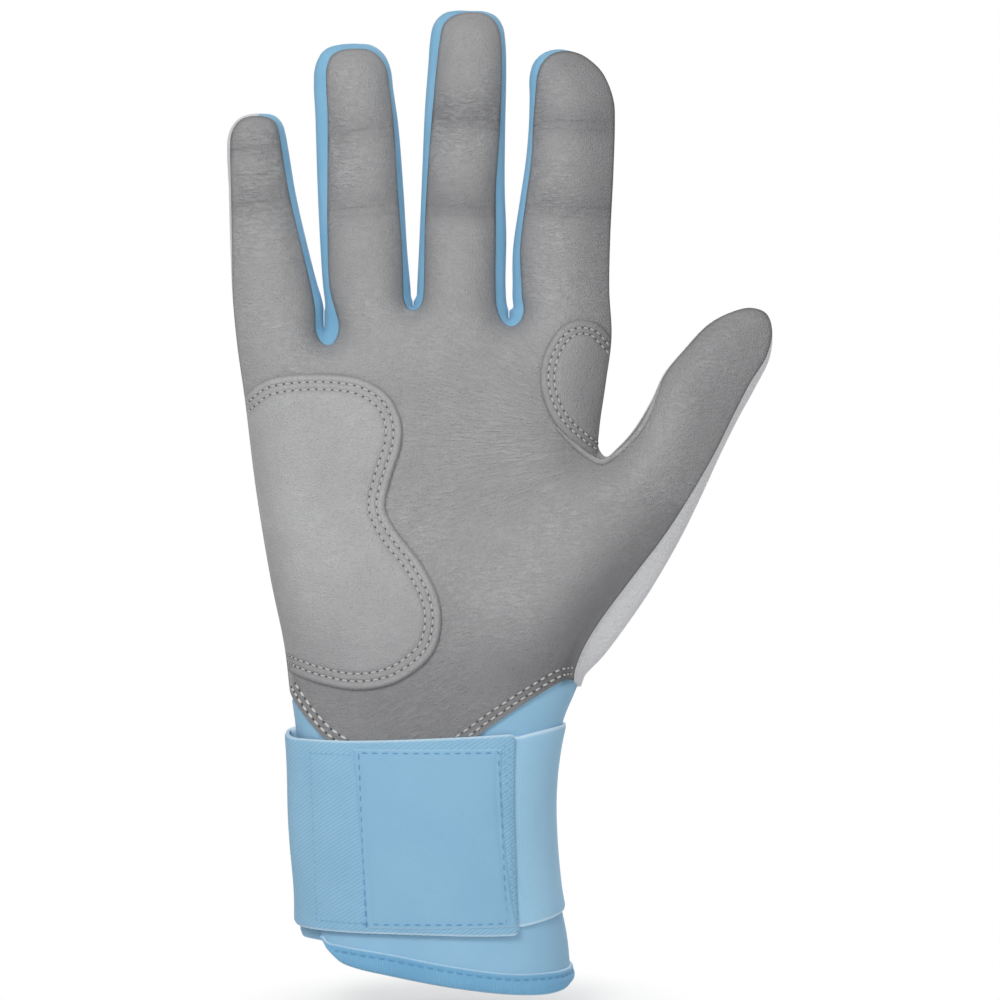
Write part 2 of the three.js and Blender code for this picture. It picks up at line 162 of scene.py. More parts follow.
def leatherMaterial(name, look):
    material, shader, place = newMaterial(name)
    pebbleAt = {"Vector": place, "Scale": 1 / look["pebble"]}
    pebble = place.node("ShaderNodeTexVoronoi", {"feature": "DISTANCE_TO_EDGE"}, pebbleAt)
    crease = speckle(place, 1 / look["crease"], 6.0, Roughness=0.62, Distortion=0.6)
    mottle = speckle(place, 1 / look["mottle"], 4.0)
    fibre = speckle(place, 2200.0, 2.0)
    wearAndShade = painted(place, "dirtAndShade")
    flex = painted(place, "flex")
    # Fine wrinkles cross the digits, with two sharper lines at each bend; painted shade darkens the wrinkles
    # and lines
    crossAt = place.node("ShaderNodeMapping", {}, {"Vector": place, "Scale": look["foldScale"]})
    cross = speckle(place, 1.0, 4.0, crossAt, Distortion=0.7).between(0.36, 0.62)
    gap = painted(place, "bendGap") + (mottle - 0.5) * 5
    lines = place.math("ABSOLUTE", gap).between(0.75, 0.05)
    lines = lines + place.math("ABSOLUTE", gap + 2.3).between(0.65, 0.05) * 0.7
    lines = lines * flex * crease.between(0.36, 0.56)
    tone = mottle.between(0.32, 0.68).mixed(look["dark"], look["light"])
    tone = (crease.between(0.35, 0.7) * look["creaseTone"]).mixed(tone, look["dark"])
    crossShare = (flex * 0.4 + 0.5) * (mottle.between(0.4, 0.58) * 0.75 + 0.25)
    tone = ((1 - cross) * crossShare * look["foldShade"]).mixed(tone, look["seam"])
    tone = (lines * look["lineShade"]).mixed(tone, look["seam"])
    tone = (fibre.between(0.62, 0.36) * look["fibreTone"]).mixed(tone, look["seam"])
    # Seam dirt and painted shade, from one point attribute, darken the leather towards the dark tone
    tone = (wearAndShade * look["dirtAndShadeTone"]).mixed(tone, look["seam"])
    grain = pebble.between(0.0, 0.45) * look["pebbleShare"] + crease * (1 - look["pebbleShare"])
    grain = grain + fibre * look["fibre"] + cross * crossShare * look["fold"] - lines * 0.5
    # Others fan out over the palm, each fan from one side, with painted shade in their streaks
    across = partOf(place, 0)
    up = partOf(place, 2)
    for fan in look["fans"]:
        aside = across - fan["start"][0]
        above = up - fan["start"][1]
        angle = place.math("ARCTAN2", aside * 0.98 - above * 0.17, aside * -0.17 - above * 0.98)
        away = place.math("SQRT", aside * aside + above * above)
        streakAt = place.node("ShaderNodeCombineXYZ", {}, {0: angle * fan["streaks"], 1: away * 170})
        streak = speckle(place, 1.0, 3.0, streakAt, Distortion=0.7).between(0.34, 0.64)
        spread = away.between(*fan["near"]) * away.between(*fan["far"]) * fan["share"]
        spread = spread * angle.between(*fan["over"]) * angle.between(*fan["under"])
        tone = ((1 - streak) * spread * look["fanShade"]).mixed(tone, look["seam"])
        grain = grain + streak * spread * look["fan"]
    rough = 0.12 * crease + wearAndShade * 0.3 + look["roughness"]
    finishMaterial(shader, place, tone, rough, grain, look["depth"])
    shader.inputs["Specular IOR Level"].default_value = look["gloss"]
    return material


def clothMaterial(name, look):
    material, shader, place = newMaterial(name)
    uv = place.node("ShaderNodeUVMap", {"uv_map": "weave"})
    across = partOf(uv, 0)
    up = partOf(uv, 1)
    turn = 2 * math.pi
    if look["weave"] == "twill":
        ridge = ((across * 0.62 - up) * (turn / look["pitch"])).sine()
        yarn = (across * (turn / (look["pitch"] * 0.45))).sine()
    elif look["weave"] == "elastic":
        ridge = (across * (turn / look["pitch"])).sine()
        yarn = (up * (turn / (look["pitch"] * 0.8)) + ridge * 0.8).sine()
    else:
        ridge = (across * (turn / look["pitch"])).sine() * (up * (turn / look["pitch"])).sine()
        yarn = ((across + up) * (turn / (look["pitch"] * 0.5))).sine()
    fuzz = speckle(place, 900.0, 3.0)
    mottle = speckle(place, 1 / 0.018, 3.0)
    height = ridge * 0.35 + yarn * 0.15 + fuzz * 0.3
    tone = mottle.between(0.3, 0.7).mixed(look["dark"], look["light"])
    tone = ((ridge * -0.5 + 0.5) * look["ridgeTone"]).mixed(tone, look["shade"])
    # A painted highlight along the long edges of each strip
    tone = (painted(place, "edgeHighlight") * look["edgeHighlightTone"]).mixed(tone, look["edge"])
    finishMaterial(shader, place, tone, fuzz * 0.1 + look["roughness"], height, look["depth"])
    shader.inputs["Sheen Weight"].default_value = look["sheen"]
    shader.inputs["Specular IOR Level"].default_value = 0.25
    return material


palmLook = {
    "pebble": 0.0008,
    "crease": 0.0046,
    "mottle": 0.019,
    "pebbleShare": 0.42,
    "fibre": 0.5,
    "fibreTone": 0.1,
    "fan": 0.5,
    "fanShade": 0.13,
    "fans": [
        {"start": (0.062, 0.15), "share": 0.75, "streaks": 78, "near": (0.016, 0.028), "far": (0.095, 0.05),
         "over": (-2.4, -1.8), "under": (-0.5, -1.1)},
        {"start": (0.094, 0.135), "share": 0.9, "streaks": 165, "near": (0.08, 0.106), "far": (0.134, 0.118),
         "over": (-1.25, -1.0), "under": (-0.55, -0.75)},
    ],
    "fold": 0.7,
    "foldShade": 0.3,
    "foldScale": (420, 420, 1500),
    "lineShade": 0.16,
    "light": paint(166, 166, 167),
    "dark": paint(152, 152, 153),
    # The dark tone for grain and seam dirt, and for painted shade in wrinkles and creases
    "seam": paint(84, 84, 87),
    "creaseTone": 0.3,
    "dirtAndShadeTone": 0.4,
    "roughness": 0.4,
    "gloss": 0.4,
    "depth": 0.0003,
}
overlayLook = {
    **palmLook,
    "light": paint(172, 172, 173),
    "dark": paint(161, 161, 162),
    "dirtAndShadeTone": 0.45,
    "foldShade": 0.12,
    "fold": 0.25,
    "fans": [],
}
backLook = {
    **palmLook,
    "light": paint(214, 214, 216),
    "dark": paint(205, 205, 208),
    "seam": paint(140, 140, 146),
    "creaseTone": 0.2,
    "foldShade": 0.08,
    "fans": [],
    "pebble": 0.0014,
}
gussetLook = {
    "weave": "knit",
    "pitch": 0.7,
    "light": paint(140, 190, 220),
    "dark": paint(129, 181, 212),
    "shade": paint(98, 152, 190),
    # The pale colour of the painted edge highlight
    "edge": paint(216, 235, 246),
    "edgeHighlightTone": 0.0,
    "ridgeTone": 0.3,
    "roughness": 0.72,
    "sheen": 0.1,
    "depth": 0.00012,
}
cuffLook = {
    **gussetLook,
    "light": paint(147, 189, 216),
    "dark": paint(140, 183, 211),
    "pitch": 0.8,
    "ridgeTone": 0.14,
    "depth": 0.00007,
}
bindingLook = {
    **gussetLook,
    "light": paint(121, 175, 210),
    "dark": paint(112, 167, 204),
    "weave": "elastic",
    "edgeHighlightTone": 0.6,
}
elasticLook = {
    **gussetLook,
    "light": paint(158, 200, 226),
    "dark": paint(152, 195, 222),
    "weave": "elastic",
    "pitch": 0.62,
    "ridgeTone": 0.12,
    "edgeHighlightTone": 0.8,
    "depth": 0.00006,
}
twillLook = {
    **gussetLook,
    "light": paint(146, 188, 215),
    "dark": paint(138, 181, 208),
    "shade": paint(112, 162, 196),
    "weave": "twill",
    "pitch": 1.05,
    "ridgeTone": 0.42,
    "edgeHighlightTone": 0.7,
    "depth": 0.00013,
}
patchLook = {
    **gussetLook,
    "light": paint(135, 179, 207),
    "dark": paint(131, 176, 205),
    "ridgeTone": 0.0,
    "edgeHighlightTone": 0.2,
    "depth": 0.00004,
}
pileLook = {
    **gussetLook,
    "light": paint(108, 160, 196),
    "dark": paint(92, 146, 184),
    "pitch": 1.1,
    "depth": 0.0004,
}
# A darker copy of the overlay leather, for the index patch and the crotch seam: painted shade where the patch
# turns away
shadedPatchLook = {**overlayLook, "light": paint(160, 160, 161), "dark": paint(150, 150, 151)}

palmLeather = leatherMaterial("palmLeather", palmLook)
overlayLeather = leatherMaterial("overlayLeather", overlayLook)
shadedPatchLeather = leatherMaterial("shadedPatchLeather", shadedPatchLook)
backLeather = leatherMaterial("backLeather", backLook)
gussetCloth = clothMaterial("gussetCloth", gussetLook)
cuffCloth = clothMaterial("cuffCloth", cuffLook)
bindingCloth = clothMaterial("bindingCloth", bindingLook)
elasticWeb = clothMaterial("elasticWeb", elasticLook)
twillWeb = clothMaterial("twillWeb", twillLook)
patchRubber = clothMaterial("patchRubber", patchLook)
pileCloth = clothMaterial("pileCloth", pileLook)


def plainMaterial(name, colour, roughness):
    material, shader, place = newMaterial(name)
    finishMaterial(shader, place, colour, roughness, speckle(place, 3000.0, 2.0), 0.00005)
    return material


threadRough, holeRough = 0.6, 0.9
greyThread = plainMaterial("greyThread", paint(180, 180, 178), threadRough)
edgeThread = plainMaterial("edgeThread", paint(198, 198, 196), threadRough)
blueThread = plainMaterial("blueThread", paint(92, 148, 188), threadRough)
twillThread = plainMaterial("twillThread", paint(118, 167, 201), threadRough)
# Dark beads stand for needle holes and vents: painted shade inside the holes
needleHole = plainMaterial("needleHole", paint(70, 70, 72), holeRough)
paleThread = plainMaterial("paleThread", paint(206, 206, 206), threadRough)
paleHole = plainMaterial("paleHole", paint(128, 128, 132), holeRough)
ventHole = plainMaterial("ventHole", paint(96, 96, 100), holeRough)
print("materials made")


# Paths and sheets in the XZ plane, in millimetres: a smooth path, and which stretch each of its points is on
def smoothRuns(points, spacing):
    p = np.array(points, float)
    ext = np.vstack([2 * p[:1] - p[1:2], p, 2 * p[-1:] - p[-2:-1]])
    gaps = np.sqrt(np.maximum(np.linalg.norm(np.diff(ext[:, :2], axis=0), axis=1), 1e-6))
    rows, owner = [], []
    for i in range(len(p) - 1):
        p0, p1, p2, p3 = ext[i : i + 4]
        g0, g1, g2 = gaps[i : i + 3]
        m1 = (p2 - p1) + g1 * ((p1 - p0) / g0 - (p2 - p0) / (g0 + g1))
        m2 = (p2 - p1) + g1 * ((p3 - p2) / g2 - (p3 - p1) / (g1 + g2))
        steps = max(1, int(round(np.linalg.norm((p2 - p1)[:2]) / spacing)))
        t = (np.arange(steps) / steps)[:, None]
        h1, h2, h3 = 2 * t**3 - 3 * t**2 + 1, t**3 - 2 * t**2 + t, t**3 - t**2
        rows.append(h1 * p1 + h2 * m1 + (1 - h1) * p2 + h3 * m2)
        owner += [i] * steps
    rows.append(p[-1:])
    owner.append(len(p) - 2)
    return np.vstack(rows), np.array(owner)


def smoothPath(points, spacing):
    return smoothRuns(points, spacing)[0]


def unit(v):
    return v / np.maximum(np.linalg.norm(v, axis=-1, keepdims=True), 1e-12)


def leftOf(path, closed=False):
    step = np.roll(path, -1, 0) - np.roll(path, 1, 0) if closed else np.gradient(path, axis=0)
    return unit(np.column_stack([-step[:, 1], step[:, 0]]))


def ease(value, low, high):
    t = np.clip((value - low) / (high - low), 0, 1)
    return t * t * (3 - 2 * t)


def bell(value, width):
    return np.exp(-((value / width) ** 2))


def lengthAlong(path):
    return np.concatenate([[0], np.cumsum(np.linalg.norm(np.diff(path, axis=0), axis=1))])


def inChunks(work, points, size=1500):
    return np.concatenate([work(points[i : i + size]) for i in range(0, len(points), size)])


def pointsInside(points, loop):
    ahead = np.roll(loop, -1, 0)
    rise = ahead[:, 1] - loop[:, 1]
    rise = np.where(np.abs(rise) < 1e-9, 1e-9, rise)

    def test(part):
        z = part[:, 1:2]
        over = (loop[:, 1] > z) != (ahead[:, 1] > z)
        hit = loop[:, 0] + (z - loop[:, 1]) * (ahead[:, 0] - loop[:, 0]) / rise
        return np.sum(over & (part[:, :1] < hit), axis=1) % 2 == 1

    return inChunks(test, points)


def distanceTo(points, path):
    def nearest(part):
        gap = part[:, None, :] - path[None, :, :]
        return np.sqrt(np.min(gap[..., 0] ** 2 + gap[..., 1] ** 2, axis=1))

    return inChunks(nearest, points)


# The points that triangles use, and the triangles numbered by those alone
def onlyUsed(tris):
    used, index = np.unique(tris, return_inverse=True)
    return used, index.reshape(-1, 3)


def triangulate(loop, lines, spacing, insets):
    turn = np.sum(loop[:, 0] * np.roll(loop[:, 1], -1) - np.roll(loop[:, 0], -1) * loop[:, 1])
    inward = leftOf(loop, True) * (1 if turn > 0 else -1)
    free = []
    for depth in insets:
        ring = loop + inward * depth
        free.append(ring[pointsInside(ring, loop) & (distanceTo(ring, loop) > depth * 0.9)])
    low, high = loop.min(0), loop.max(0)
    rows = []
    for i, z in enumerate(np.arange(low[1], high[1], spacing * 0.866)):
        x = np.arange(low[0] + (i % 2) * spacing / 2, high[0], spacing)
        rows.append(np.column_stack([x, np.full(len(x), z)]))
    grid = np.vstack(rows)
    grid = grid[pointsInside(grid, loop)]
    free.append(grid[distanceTo(grid, loop) > insets[-1] + spacing * 0.5])
    free = np.vstack(free)
    for line in lines:
        free = free[distanceTo(free, line) > 0.4]
    points, edges = [loop], [(i, (i + 1) % len(loop)) for i in range(len(loop))]
    count = len(loop)
    for line in lines:
        points.append(line)
        edges += [(count + i, count + i + 1) for i in range(len(line) - 1)]
        count += len(line)
    points = np.vstack(points + [free])
    result = delaunay_2d_cdt([Vector(p) for p in points], edges, [], 0, 1e-5, False)
    verts = np.array([tuple(v) for v in result[0]])
    tris = np.array([f for f in result[2] if len(f) == 3])
    a, b, c = (verts[tris[:, k]] for k in range(3))
    area = (b[:, 0] - a[:, 0]) * (c[:, 1] - a[:, 1]) - (c[:, 0] - a[:, 0]) * (b[:, 1] - a[:, 1])
    tris[area < 0] = tris[area < 0][:, ::-1]
    tris = tris[(np.abs(area) > 1e-7) & pointsInside((a + b + c) / 3, loop)]
    used, tris = onlyUsed(tris)
    return verts[used], tris


def openEdges(tris):
    pairs = np.vstack([tris[:, [0, 1]], tris[:, [1, 2]], tris[:, [2, 0]]])
    key = np.sort(pairs, axis=1)
    _, first, counts = np.unique(key, axis=0, return_index=True, return_counts=True)
    return pairs[first[counts == 1]]


# A soft crown: 0 where held, levelling off at 1 a reach away
def crownOver(points, tris, held, reach):
    n = len(points)
    weightI, weightJ, weights = [], [], []
    mass = np.zeros(n)
    for k in range(3):
        i, j, o = tris[:, k], tris[:, (k + 1) % 3], tris[:, (k + 2) % 3]
        u, v = points[i] - points[o], points[j] - points[o]
        cross = np.abs(u[:, 0] * v[:, 1] - u[:, 1] * v[:, 0]) + 1e-12
        weightI.append(i)
        weightJ.append(j)
        weights.append(np.clip(np.sum(u * v, axis=1) / cross, -2, 20) / 2)
        mass += np.bincount(i, cross / 6, n)
    i, j, w = np.concatenate(weightI), np.concatenate(weightJ), np.concatenate(weights) * reach**2
    diagonal = mass + np.bincount(i, w, n) + np.bincount(j, w, n)
    free = ~held

    def apply(u):
        return np.where(free, diagonal * u - np.bincount(i, w * u[j], n) - np.bincount(j, w * u[i], n), 0)

    u = np.zeros(n)
    residual = np.where(free, mass, 0)
    ready = residual / diagonal
    push, energy = ready.copy(), residual @ ready
    for _ in range(900):
        moved = apply(push)
        step = energy / (push @ moved)
        u += step * push
        residual -= step * moved
        ready = residual / diagonal
        fresh = residual @ ready
        if fresh < 1e-12 * mass.sum():
            break
        push = ready + push * (fresh / energy)
        energy = fresh
    return u


def rounded(crown, bluntness=0.015):
    edge = math.sqrt(bluntness)
    return (np.sqrt(np.maximum(crown, 0) + bluntness) - edge) / (math.sqrt(1 + bluntness) - edge)


def rimOf(points, tris):
    return np.isin(np.arange(len(points)), openEdges(tris))


# The crown of a sheet that is sewn down along one part of its edge
def crownFrom(points, tris, sewn, reach):
    return crownOver(points, tris, rimOf(points, tris) & (distanceTo(points, sewn) < 0.5), reach)


# A soft round spot on a sheet, and a sum of such spots
def spotOn(points, x, z, wide, tall):
    return bell(points[:, 0] - x, wide) * bell(points[:, 1] - z, tall)


def moundsOver(points, mounds):
    return sum(height * spotOn(points, x, z, radius, radius) for x, z, radius, height in mounds)


def gridTris(columns, rows):
    index = np.arange(columns * rows).reshape(columns, rows)
    quads = np.stack([index[:-1, :-1], index[1:, :-1], index[1:, 1:], index[:-1, 1:]], -1).reshape(-1, 4)
    return np.vstack([quads[:, [0, 1, 2]], quads[:, [0, 2, 3]]])


def treeOf(points, tris):
    return BVHTree.FromPolygons([tuple(p) for p in points], [tuple(int(i) for i in tri) for tri in tris])


# How deep a surface lies under each point, seen from the palm side or the back
def depthsOn(tree, points, side=-1):
    hits = [tree.ray_cast(Vector((x, side * 90, z)), Vector((0, -side, 0)))[0] for x, z in points]
    return np.array([np.nan if hit is None else hit.y for hit in hits])


def onSurface(line, tree, lift=0.0, side=-1):
    depths = depthsOn(tree, line, side)
    return np.column_stack([line[:, 0], depths + side * lift, line[:, 1]])[~np.isnan(depths)]


def vertexNormals(verts, tris):
    a, b, c = (verts[tris[:, k]] for k in range(3))
    face = np.cross(b - a, c - a)
    normal = np.zeros_like(verts)
    for k in range(3):
        for axis in range(3):
            normal[:, axis] += np.bincount(tris[:, k], face[:, axis], len(verts))
    return unit(normal)


# A closed shell from an outer and an inner skin that share their triangles, in millimetres
def shell(name, outer, inner, tris, normals, material, weave=None, values=None):
    used, tris = onlyUsed(tris)
    outer, inner, normals = outer[used], inner[used], normals[used]
    n = len(used)
    rim = openEdges(tris)
    faces = [tuple(f) for f in tris] + [tuple(f[::-1] + n) for f in tris]
    faces += [(b, a, a + n, b + n) for a, b in rim]
    mesh = bpy.data.meshes.new(name)
    verts = np.vstack([outer, inner]) * mm
    mesh.from_pydata([tuple(v) for v in verts], [], [tuple(int(i) for i in f) for f in faces])
    mesh.shade_smooth()
    sideA, sideB = verts[rim[:, 0]], verts[rim[:, 1]]
    rimNormal = unit(np.cross(sideA - sideB, verts[rim[:, 0] + n] - sideA))
    outside, inside = normals[tris].reshape(-1, 3), -normals[tris[:, ::-1]].reshape(-1, 3)
    loops = np.vstack([outside, inside, np.repeat(rimNormal, 4, 0)])
    weave = outer[:, [0, 2]] if weave is None else weave[used]
    corner = np.concatenate([np.array(f) for f in faces])
    layer = mesh.uv_layers.new(name="weave")
    layer.data.foreach_set("uv", np.vstack([weave, weave])[corner].astype(np.float32).ravel())
    for key, value in (values or {}).items():
        attribute = mesh.attributes.new(key, "FLOAT", "POINT")
        attribute.data.foreach_set("value", np.concatenate([value[used], value[used]]).astype(np.float32))
    mesh.normals_split_custom_set([tuple(v) for v in loops])
    mesh.materials.append(material)
    return addObject(name, mesh)


# The seam line round the hand: x, z, and how far the side bulges past it
outline = {
    "ulnarSide": [
        (-36.8, 81.5, 0), (-38.3, 94, 0), (-41.9, 111.5, 0), (-45.9, 135.8, 0), (-48.9, 160.1, 0),
        (-51, 175, 0.1), (-52.1, 187.1, 0.4),
    ],
    "pinky": [
        (-52.4, 203.3, 0.8), (-52.7, 218.2, 0.9), (-52.9, 226.8, 1.1), (-52.7, 230.9, 1.1),
        (-51.7, 233.6, 1.1), (-50, 235.4, 1.1), (-47.5, 236.3, 1.1), (-44.6, 236.4, 1.1),
        (-42.1, 235.8, 1.4), (-40.5, 234.4, 1.4), (-39.7, 231.9, 1.4), (-39, 227.6, 1.5),
        (-37, 215.5, 1.5), (-33.5, 200.6, 1.4), (-31.2, 190.9, 1.6), (-30, 184.4, 2.4),
        (-29.9, 181.2, 2.8), (-29.8, 178.8, 2.8), (-29.1, 176.7, 2.6), (-28, 175.3, 2.4),
    ],
    "ring": [
        (-26.6, 174.7, 2.4), (-25.2, 175.3, 2.4), (-24.2, 176.9, 2.6), (-23.7, 179, 2.8),
        (-23.8, 181, 2.8), (-24.6, 184, 2.4), (-26.1, 190.1, 1.9), (-26.7, 204.7, 2.3),
        (-26.7, 220.9, 3), (-26.7, 237.1, 3.5), (-27.1, 245.4, 3.5), (-26.9, 249.5, 3.4),
        (-25.7, 252.5, 3), (-23.2, 254, 2.2), (-18.9, 254.5, 1.9), (-15.4, 254.1, 1.9),
        (-12.7, 252.3, 1.6), (-10.9, 249.2, 1.1), (-10.1, 244.4, 0.9), (-8.9, 234.4, 1.1),
        (-7.8, 216.8, 1.4), (-6.6, 200.6, 1.2), (-6.3, 190.4, 1.8), (-6.2, 187.6, 1.9),
        (-5.6, 185.6, 2), (-4.8, 184.5, 2.1),
    ],
    "middle": [
        (-3.65, 184.1, 2.2), (-2.5, 184.5, 2.1), (-1.6, 185.6, 2), (-1, 187.6, 1.9),
        (-0.8, 190.6, 1.9), (-0.5, 207.4, 1.4), (0.3, 222.2, 1.6), (1.6, 238.4, 2.2),
        (2.7, 250.3, 2.4), (3.5, 256.8, 2.7), (4.3, 260.6, 2.7), (5.9, 262.6, 2.4), (8.4, 263.8, 1.6),
        (11.6, 264.3, 0.9), (15.1, 264, 1.1), (17.6, 262.7, 1.5), (19.2, 260.4, 1.4), (20, 256.5, 1.2),
        (20.2, 249.2, 1.2), (19.7, 233, 1.4), (18.6, 216.8, 2.4), (18.6, 204.7, 2.8),
        (18.5, 191.2, 2.7), (18.8, 185.3, 2.8), (19.8, 182.2, 2.7), (21.1, 180.5, 2.8),
    ],
    "index": [
        (22.7, 179.8, 2.9), (24.4, 180.5, 2.8), (25.6, 182.2, 2.6), (26.05, 184.6, 2.6),
        (25.6, 187.6, 2.5), (25.4, 191.5, 2.3), (25.1, 200.6, 1.9), (26.5, 212.8, 1.6),
        (28.1, 224.9, 1.4), (28.6, 234.4, 1.1), (29.2, 242.2, 1.5), (29.7, 247.3, 2),
        (30.8, 250.3, 2.2), (32.9, 252.6, 1.8), (35.9, 253.8, 1.1), (38.6, 253.8, 0.5),
        (41.6, 252.9, 0.3), (44.3, 251.1, 0.1), (47, 248.4, 0.1), (49.1, 244.4, 0.1),
        (50.4, 239.8, 0.1), (50.6, 234.6, 0.1), (50.2, 220.9, 0.1), (49.4, 204.7, 0.1),
        (49.1, 189.8, 0.1),
    ],
    "radialSide": [
        (49.7, 176.9, 0.1), (48.1, 164.2, 0.1), (46.4, 152, 0.1),
    ],
    "thumb": [
        (46.3, 146.9, 0.1), (48.3, 144.7, 0.1), (51.6, 147.2, 0.1), (55.9, 152, 0.1),
        (60.8, 160.1, 0.1), (64.3, 167.4, 0.1), (69.4, 173.6, 0.1), (75.9, 180.4, 0.1),
        (81.8, 183.6, 0.1), (87.2, 184.8, 0.1), (91.3, 183.3, 0.1), (92.9, 178.7, 0.3),
        (91.5, 172, 1.1), (86.9, 164.4, 1.8), (82.6, 156.1, 1.6), (77.5, 145.8, 1.6),
    ],
    "thumbSide": [
        (71.8, 135.8, 2.5), (64, 123.7, 3.9), (54.7, 111.5, 5.5), (45.8, 99.4, 5.8), (41.7, 92.3, 4.9),
        (39.8, 86.9, 3),
    ],
    "wristEnd": [
        (39.6, 84.9, 2.4), (39.5, 82.8, 1.9),
    ],
}
palmEdge = [
    (39.6, 84.9), (37.2, 85.2), (29.6, 81.4), (17.1, 73.5), (12.1, 69.9), (0.1, 63), (-14.5, 64.3),
    (-26.1, 69.8), (-32.1, 75.5), (-36.8, 81.5),
]
hand = {
    "seamFront": 3.0,
    "seamBack": 4.0,
    "sample": 0.8,
    "leather": 0.9,
    "cloth": 0.6,
    "gusset": 8.2,
    "allowance": 2.9,  # what a gusset's two seams take up
}

runOf = [run for run, points in outline.items() for _ in points]
seam, owner = smoothRuns([p for points in outline.values() for p in points], hand["sample"])
seamRun = np.array([runOf[i] for i in owner])
seamLip = np.maximum(seam[:, 2], 0)
seamLine = seam[:, :2]
seamX, seamZ = seamLine.T
seamOrder = np.arange(len(seam))
seamOut = leftOf(seamLine)
palmSeam = seamLine[: int(np.argmax(seamRun == "wristEnd")) + 1]

# Digits: where each bends, and where its lengths are parted between the bends
bending = {
    "cut": (-4.5, -2.3),  # where a root starts, for a finger and for the thumb
    "rootReach": (6, 7.5),  # how far past the first bend a root still turns, likewise
    "reach": 5.5,
    "lane": (15.5, 22),  # half a digit's width, and the thumb's outer side
    "thumbFrom": 44,
    "fingersFrom": 176,
}
fingers = ("index", "middle", "ring", "pinky")
digits = {}
for digit in (*fingers, "thumb"):
    bodies = ["base", "mid", "tip"] if digit in fingers else ["base", "tip"]
    places = [np.array(hinges[f"{digit}_{body}_flex"]["pos_m"]) / mm for body in bodies]
    axis = hinges[f"{digit}_base_flex"]["axis"]
    along = np.array([-axis[2], axis[0]])
    origin = places[0][[0, 2]]
    bends = [float((place[[0, 2]] - origin) @ along) for place in places]
    start = bending["cut"][digit == "thumb"]
    digits[digit] = {
        "bodies": ["hand"] + [f"{digit}_{body}" for body in bodies],
        "origin": origin,
        "along": along,
        "across": np.array([along[1], -along[0]]),
        "bends": bends,
        "cuts": [start] + [(low + high) / 2 for low, high in zip(bends, bends[1:])],
        "depth": [place[1] for place in places],
    }


def stationsOf(points, digit):
    spec = digits[digit]
    gap = points - spec["origin"]
    return gap @ spec["along"], gap @ spec["across"]


# Which length of which digit a point belongs to: 0 is the hand itself
labels = [("hand", 0)] + [(digit, i) for digit, spec in digits.items() for i in range(len(spec["bends"]))]


def labelsOf(points):
    found = np.zeros(len(points), int)
    nearest = np.full(len(points), 1e9)
    for digit, spec in digits.items():
        station, side = stationsOf(points, digit)
        lane = bending["lane"]
        mine = (station > spec["cuts"][0]) & (side > -lane[0]) & (side < lane[digit == "thumb"])
        mine &= np.abs(side) < nearest
        if digit == "thumb":
            mine &= points[:, 0] > bending["thumbFrom"]
        else:
            mine &= points[:, 1] > bending["fingersFrom"]
        length = np.sum([station > cut for cut in spec["cuts"]], axis=0) - 1
        found = np.where(mine, labels.index((digit, 0)) + length, found)
        nearest = np.where(mine, np.abs(side), nearest)
    return found


def cutLines(loop):
    lines = []
    reachOut = np.arange(-24, 24.01, 0.5)
    for spec in digits.values():
        for cut in spec["cuts"]:
            line = spec["origin"] + spec["along"] * cut + reachOut[:, None] * spec["across"]
            within = pointsInside(line, loop)
            middle = len(reachOut) // 2
            first = middle - int(np.argmin(within[middle::-1]))
            last = middle + int(np.argmin(within[middle:]))
            lines.append(line[first : last + 1])
    return lines


# The wrist under the cuff: outline rows from the mouth up, as in the solids
wristRows = [
    (-6, -34, 38.6, 24, 24), (14, -33.7, 37.3, 23.5, 23.5), (30, -33, 34.4, 22.5, 22.5),
    (55, -33.2, 33.2, 21.5, 21.5), (73, -34.9, 35.9, 19.9, 20), (85, -36.8, 40.5, 18.3, 17.5),
    (106, -40.8, 44, 16.8, 15.5),
]
wristSquare = 2.35
dense = smoothPath([(row[0], 0, *row[1:]) for row in wristRows], 0.5)


def wristAt(z):
    return [np.interp(z, dense[:, 0], dense[:, k]) for k in (2, 3, 4, 5)]


def wristPoint(angle, z, off):
    left, right, front, back = wristAt(z)
    c, s = np.cos(angle), np.sin(angle)
    swell = (np.abs(c) ** wristSquare + np.abs(s) ** wristSquare) ** (-1 / wristSquare)
    depth = np.where(s < 0, front, back) + off
    x = (left + right) / 2 + c * swell * ((right - left) / 2 + off)
    return np.stack([x, s * swell * depth, z + 0 * angle], -1)


def wristDepth(x, z, side, off):
    left, right, front, back = wristAt(z)
    share = np.clip(np.abs((x - (left + right) / 2) / ((right - left) / 2 + off)), 0, 1)
    return ((front if side == "front" else back) + off) * (1 - share**wristSquare) ** (1 / wristSquare)


# A skin's depth runs on to the wrist's own surface towards the cuff
def ontoWrist(depth, points, side, look, seamDepth, sewn):
    toCuff = 1 - ease(points[:, 1], *look["wristZone"])
    over = np.maximum(wristDepth(points[:, 0], points[:, 1], side, look["wristOff"]), seamDepth)
    over = np.minimum(over, seamDepth + 2.8 * distanceTo(points, sewn))
    return depth * (1 - toCuff) + toCuff * over


def ripple(points, size, seed):
    return np.array([noise.noise(Vector((p[0] / size, p[1] / size, seed))) for p in points])


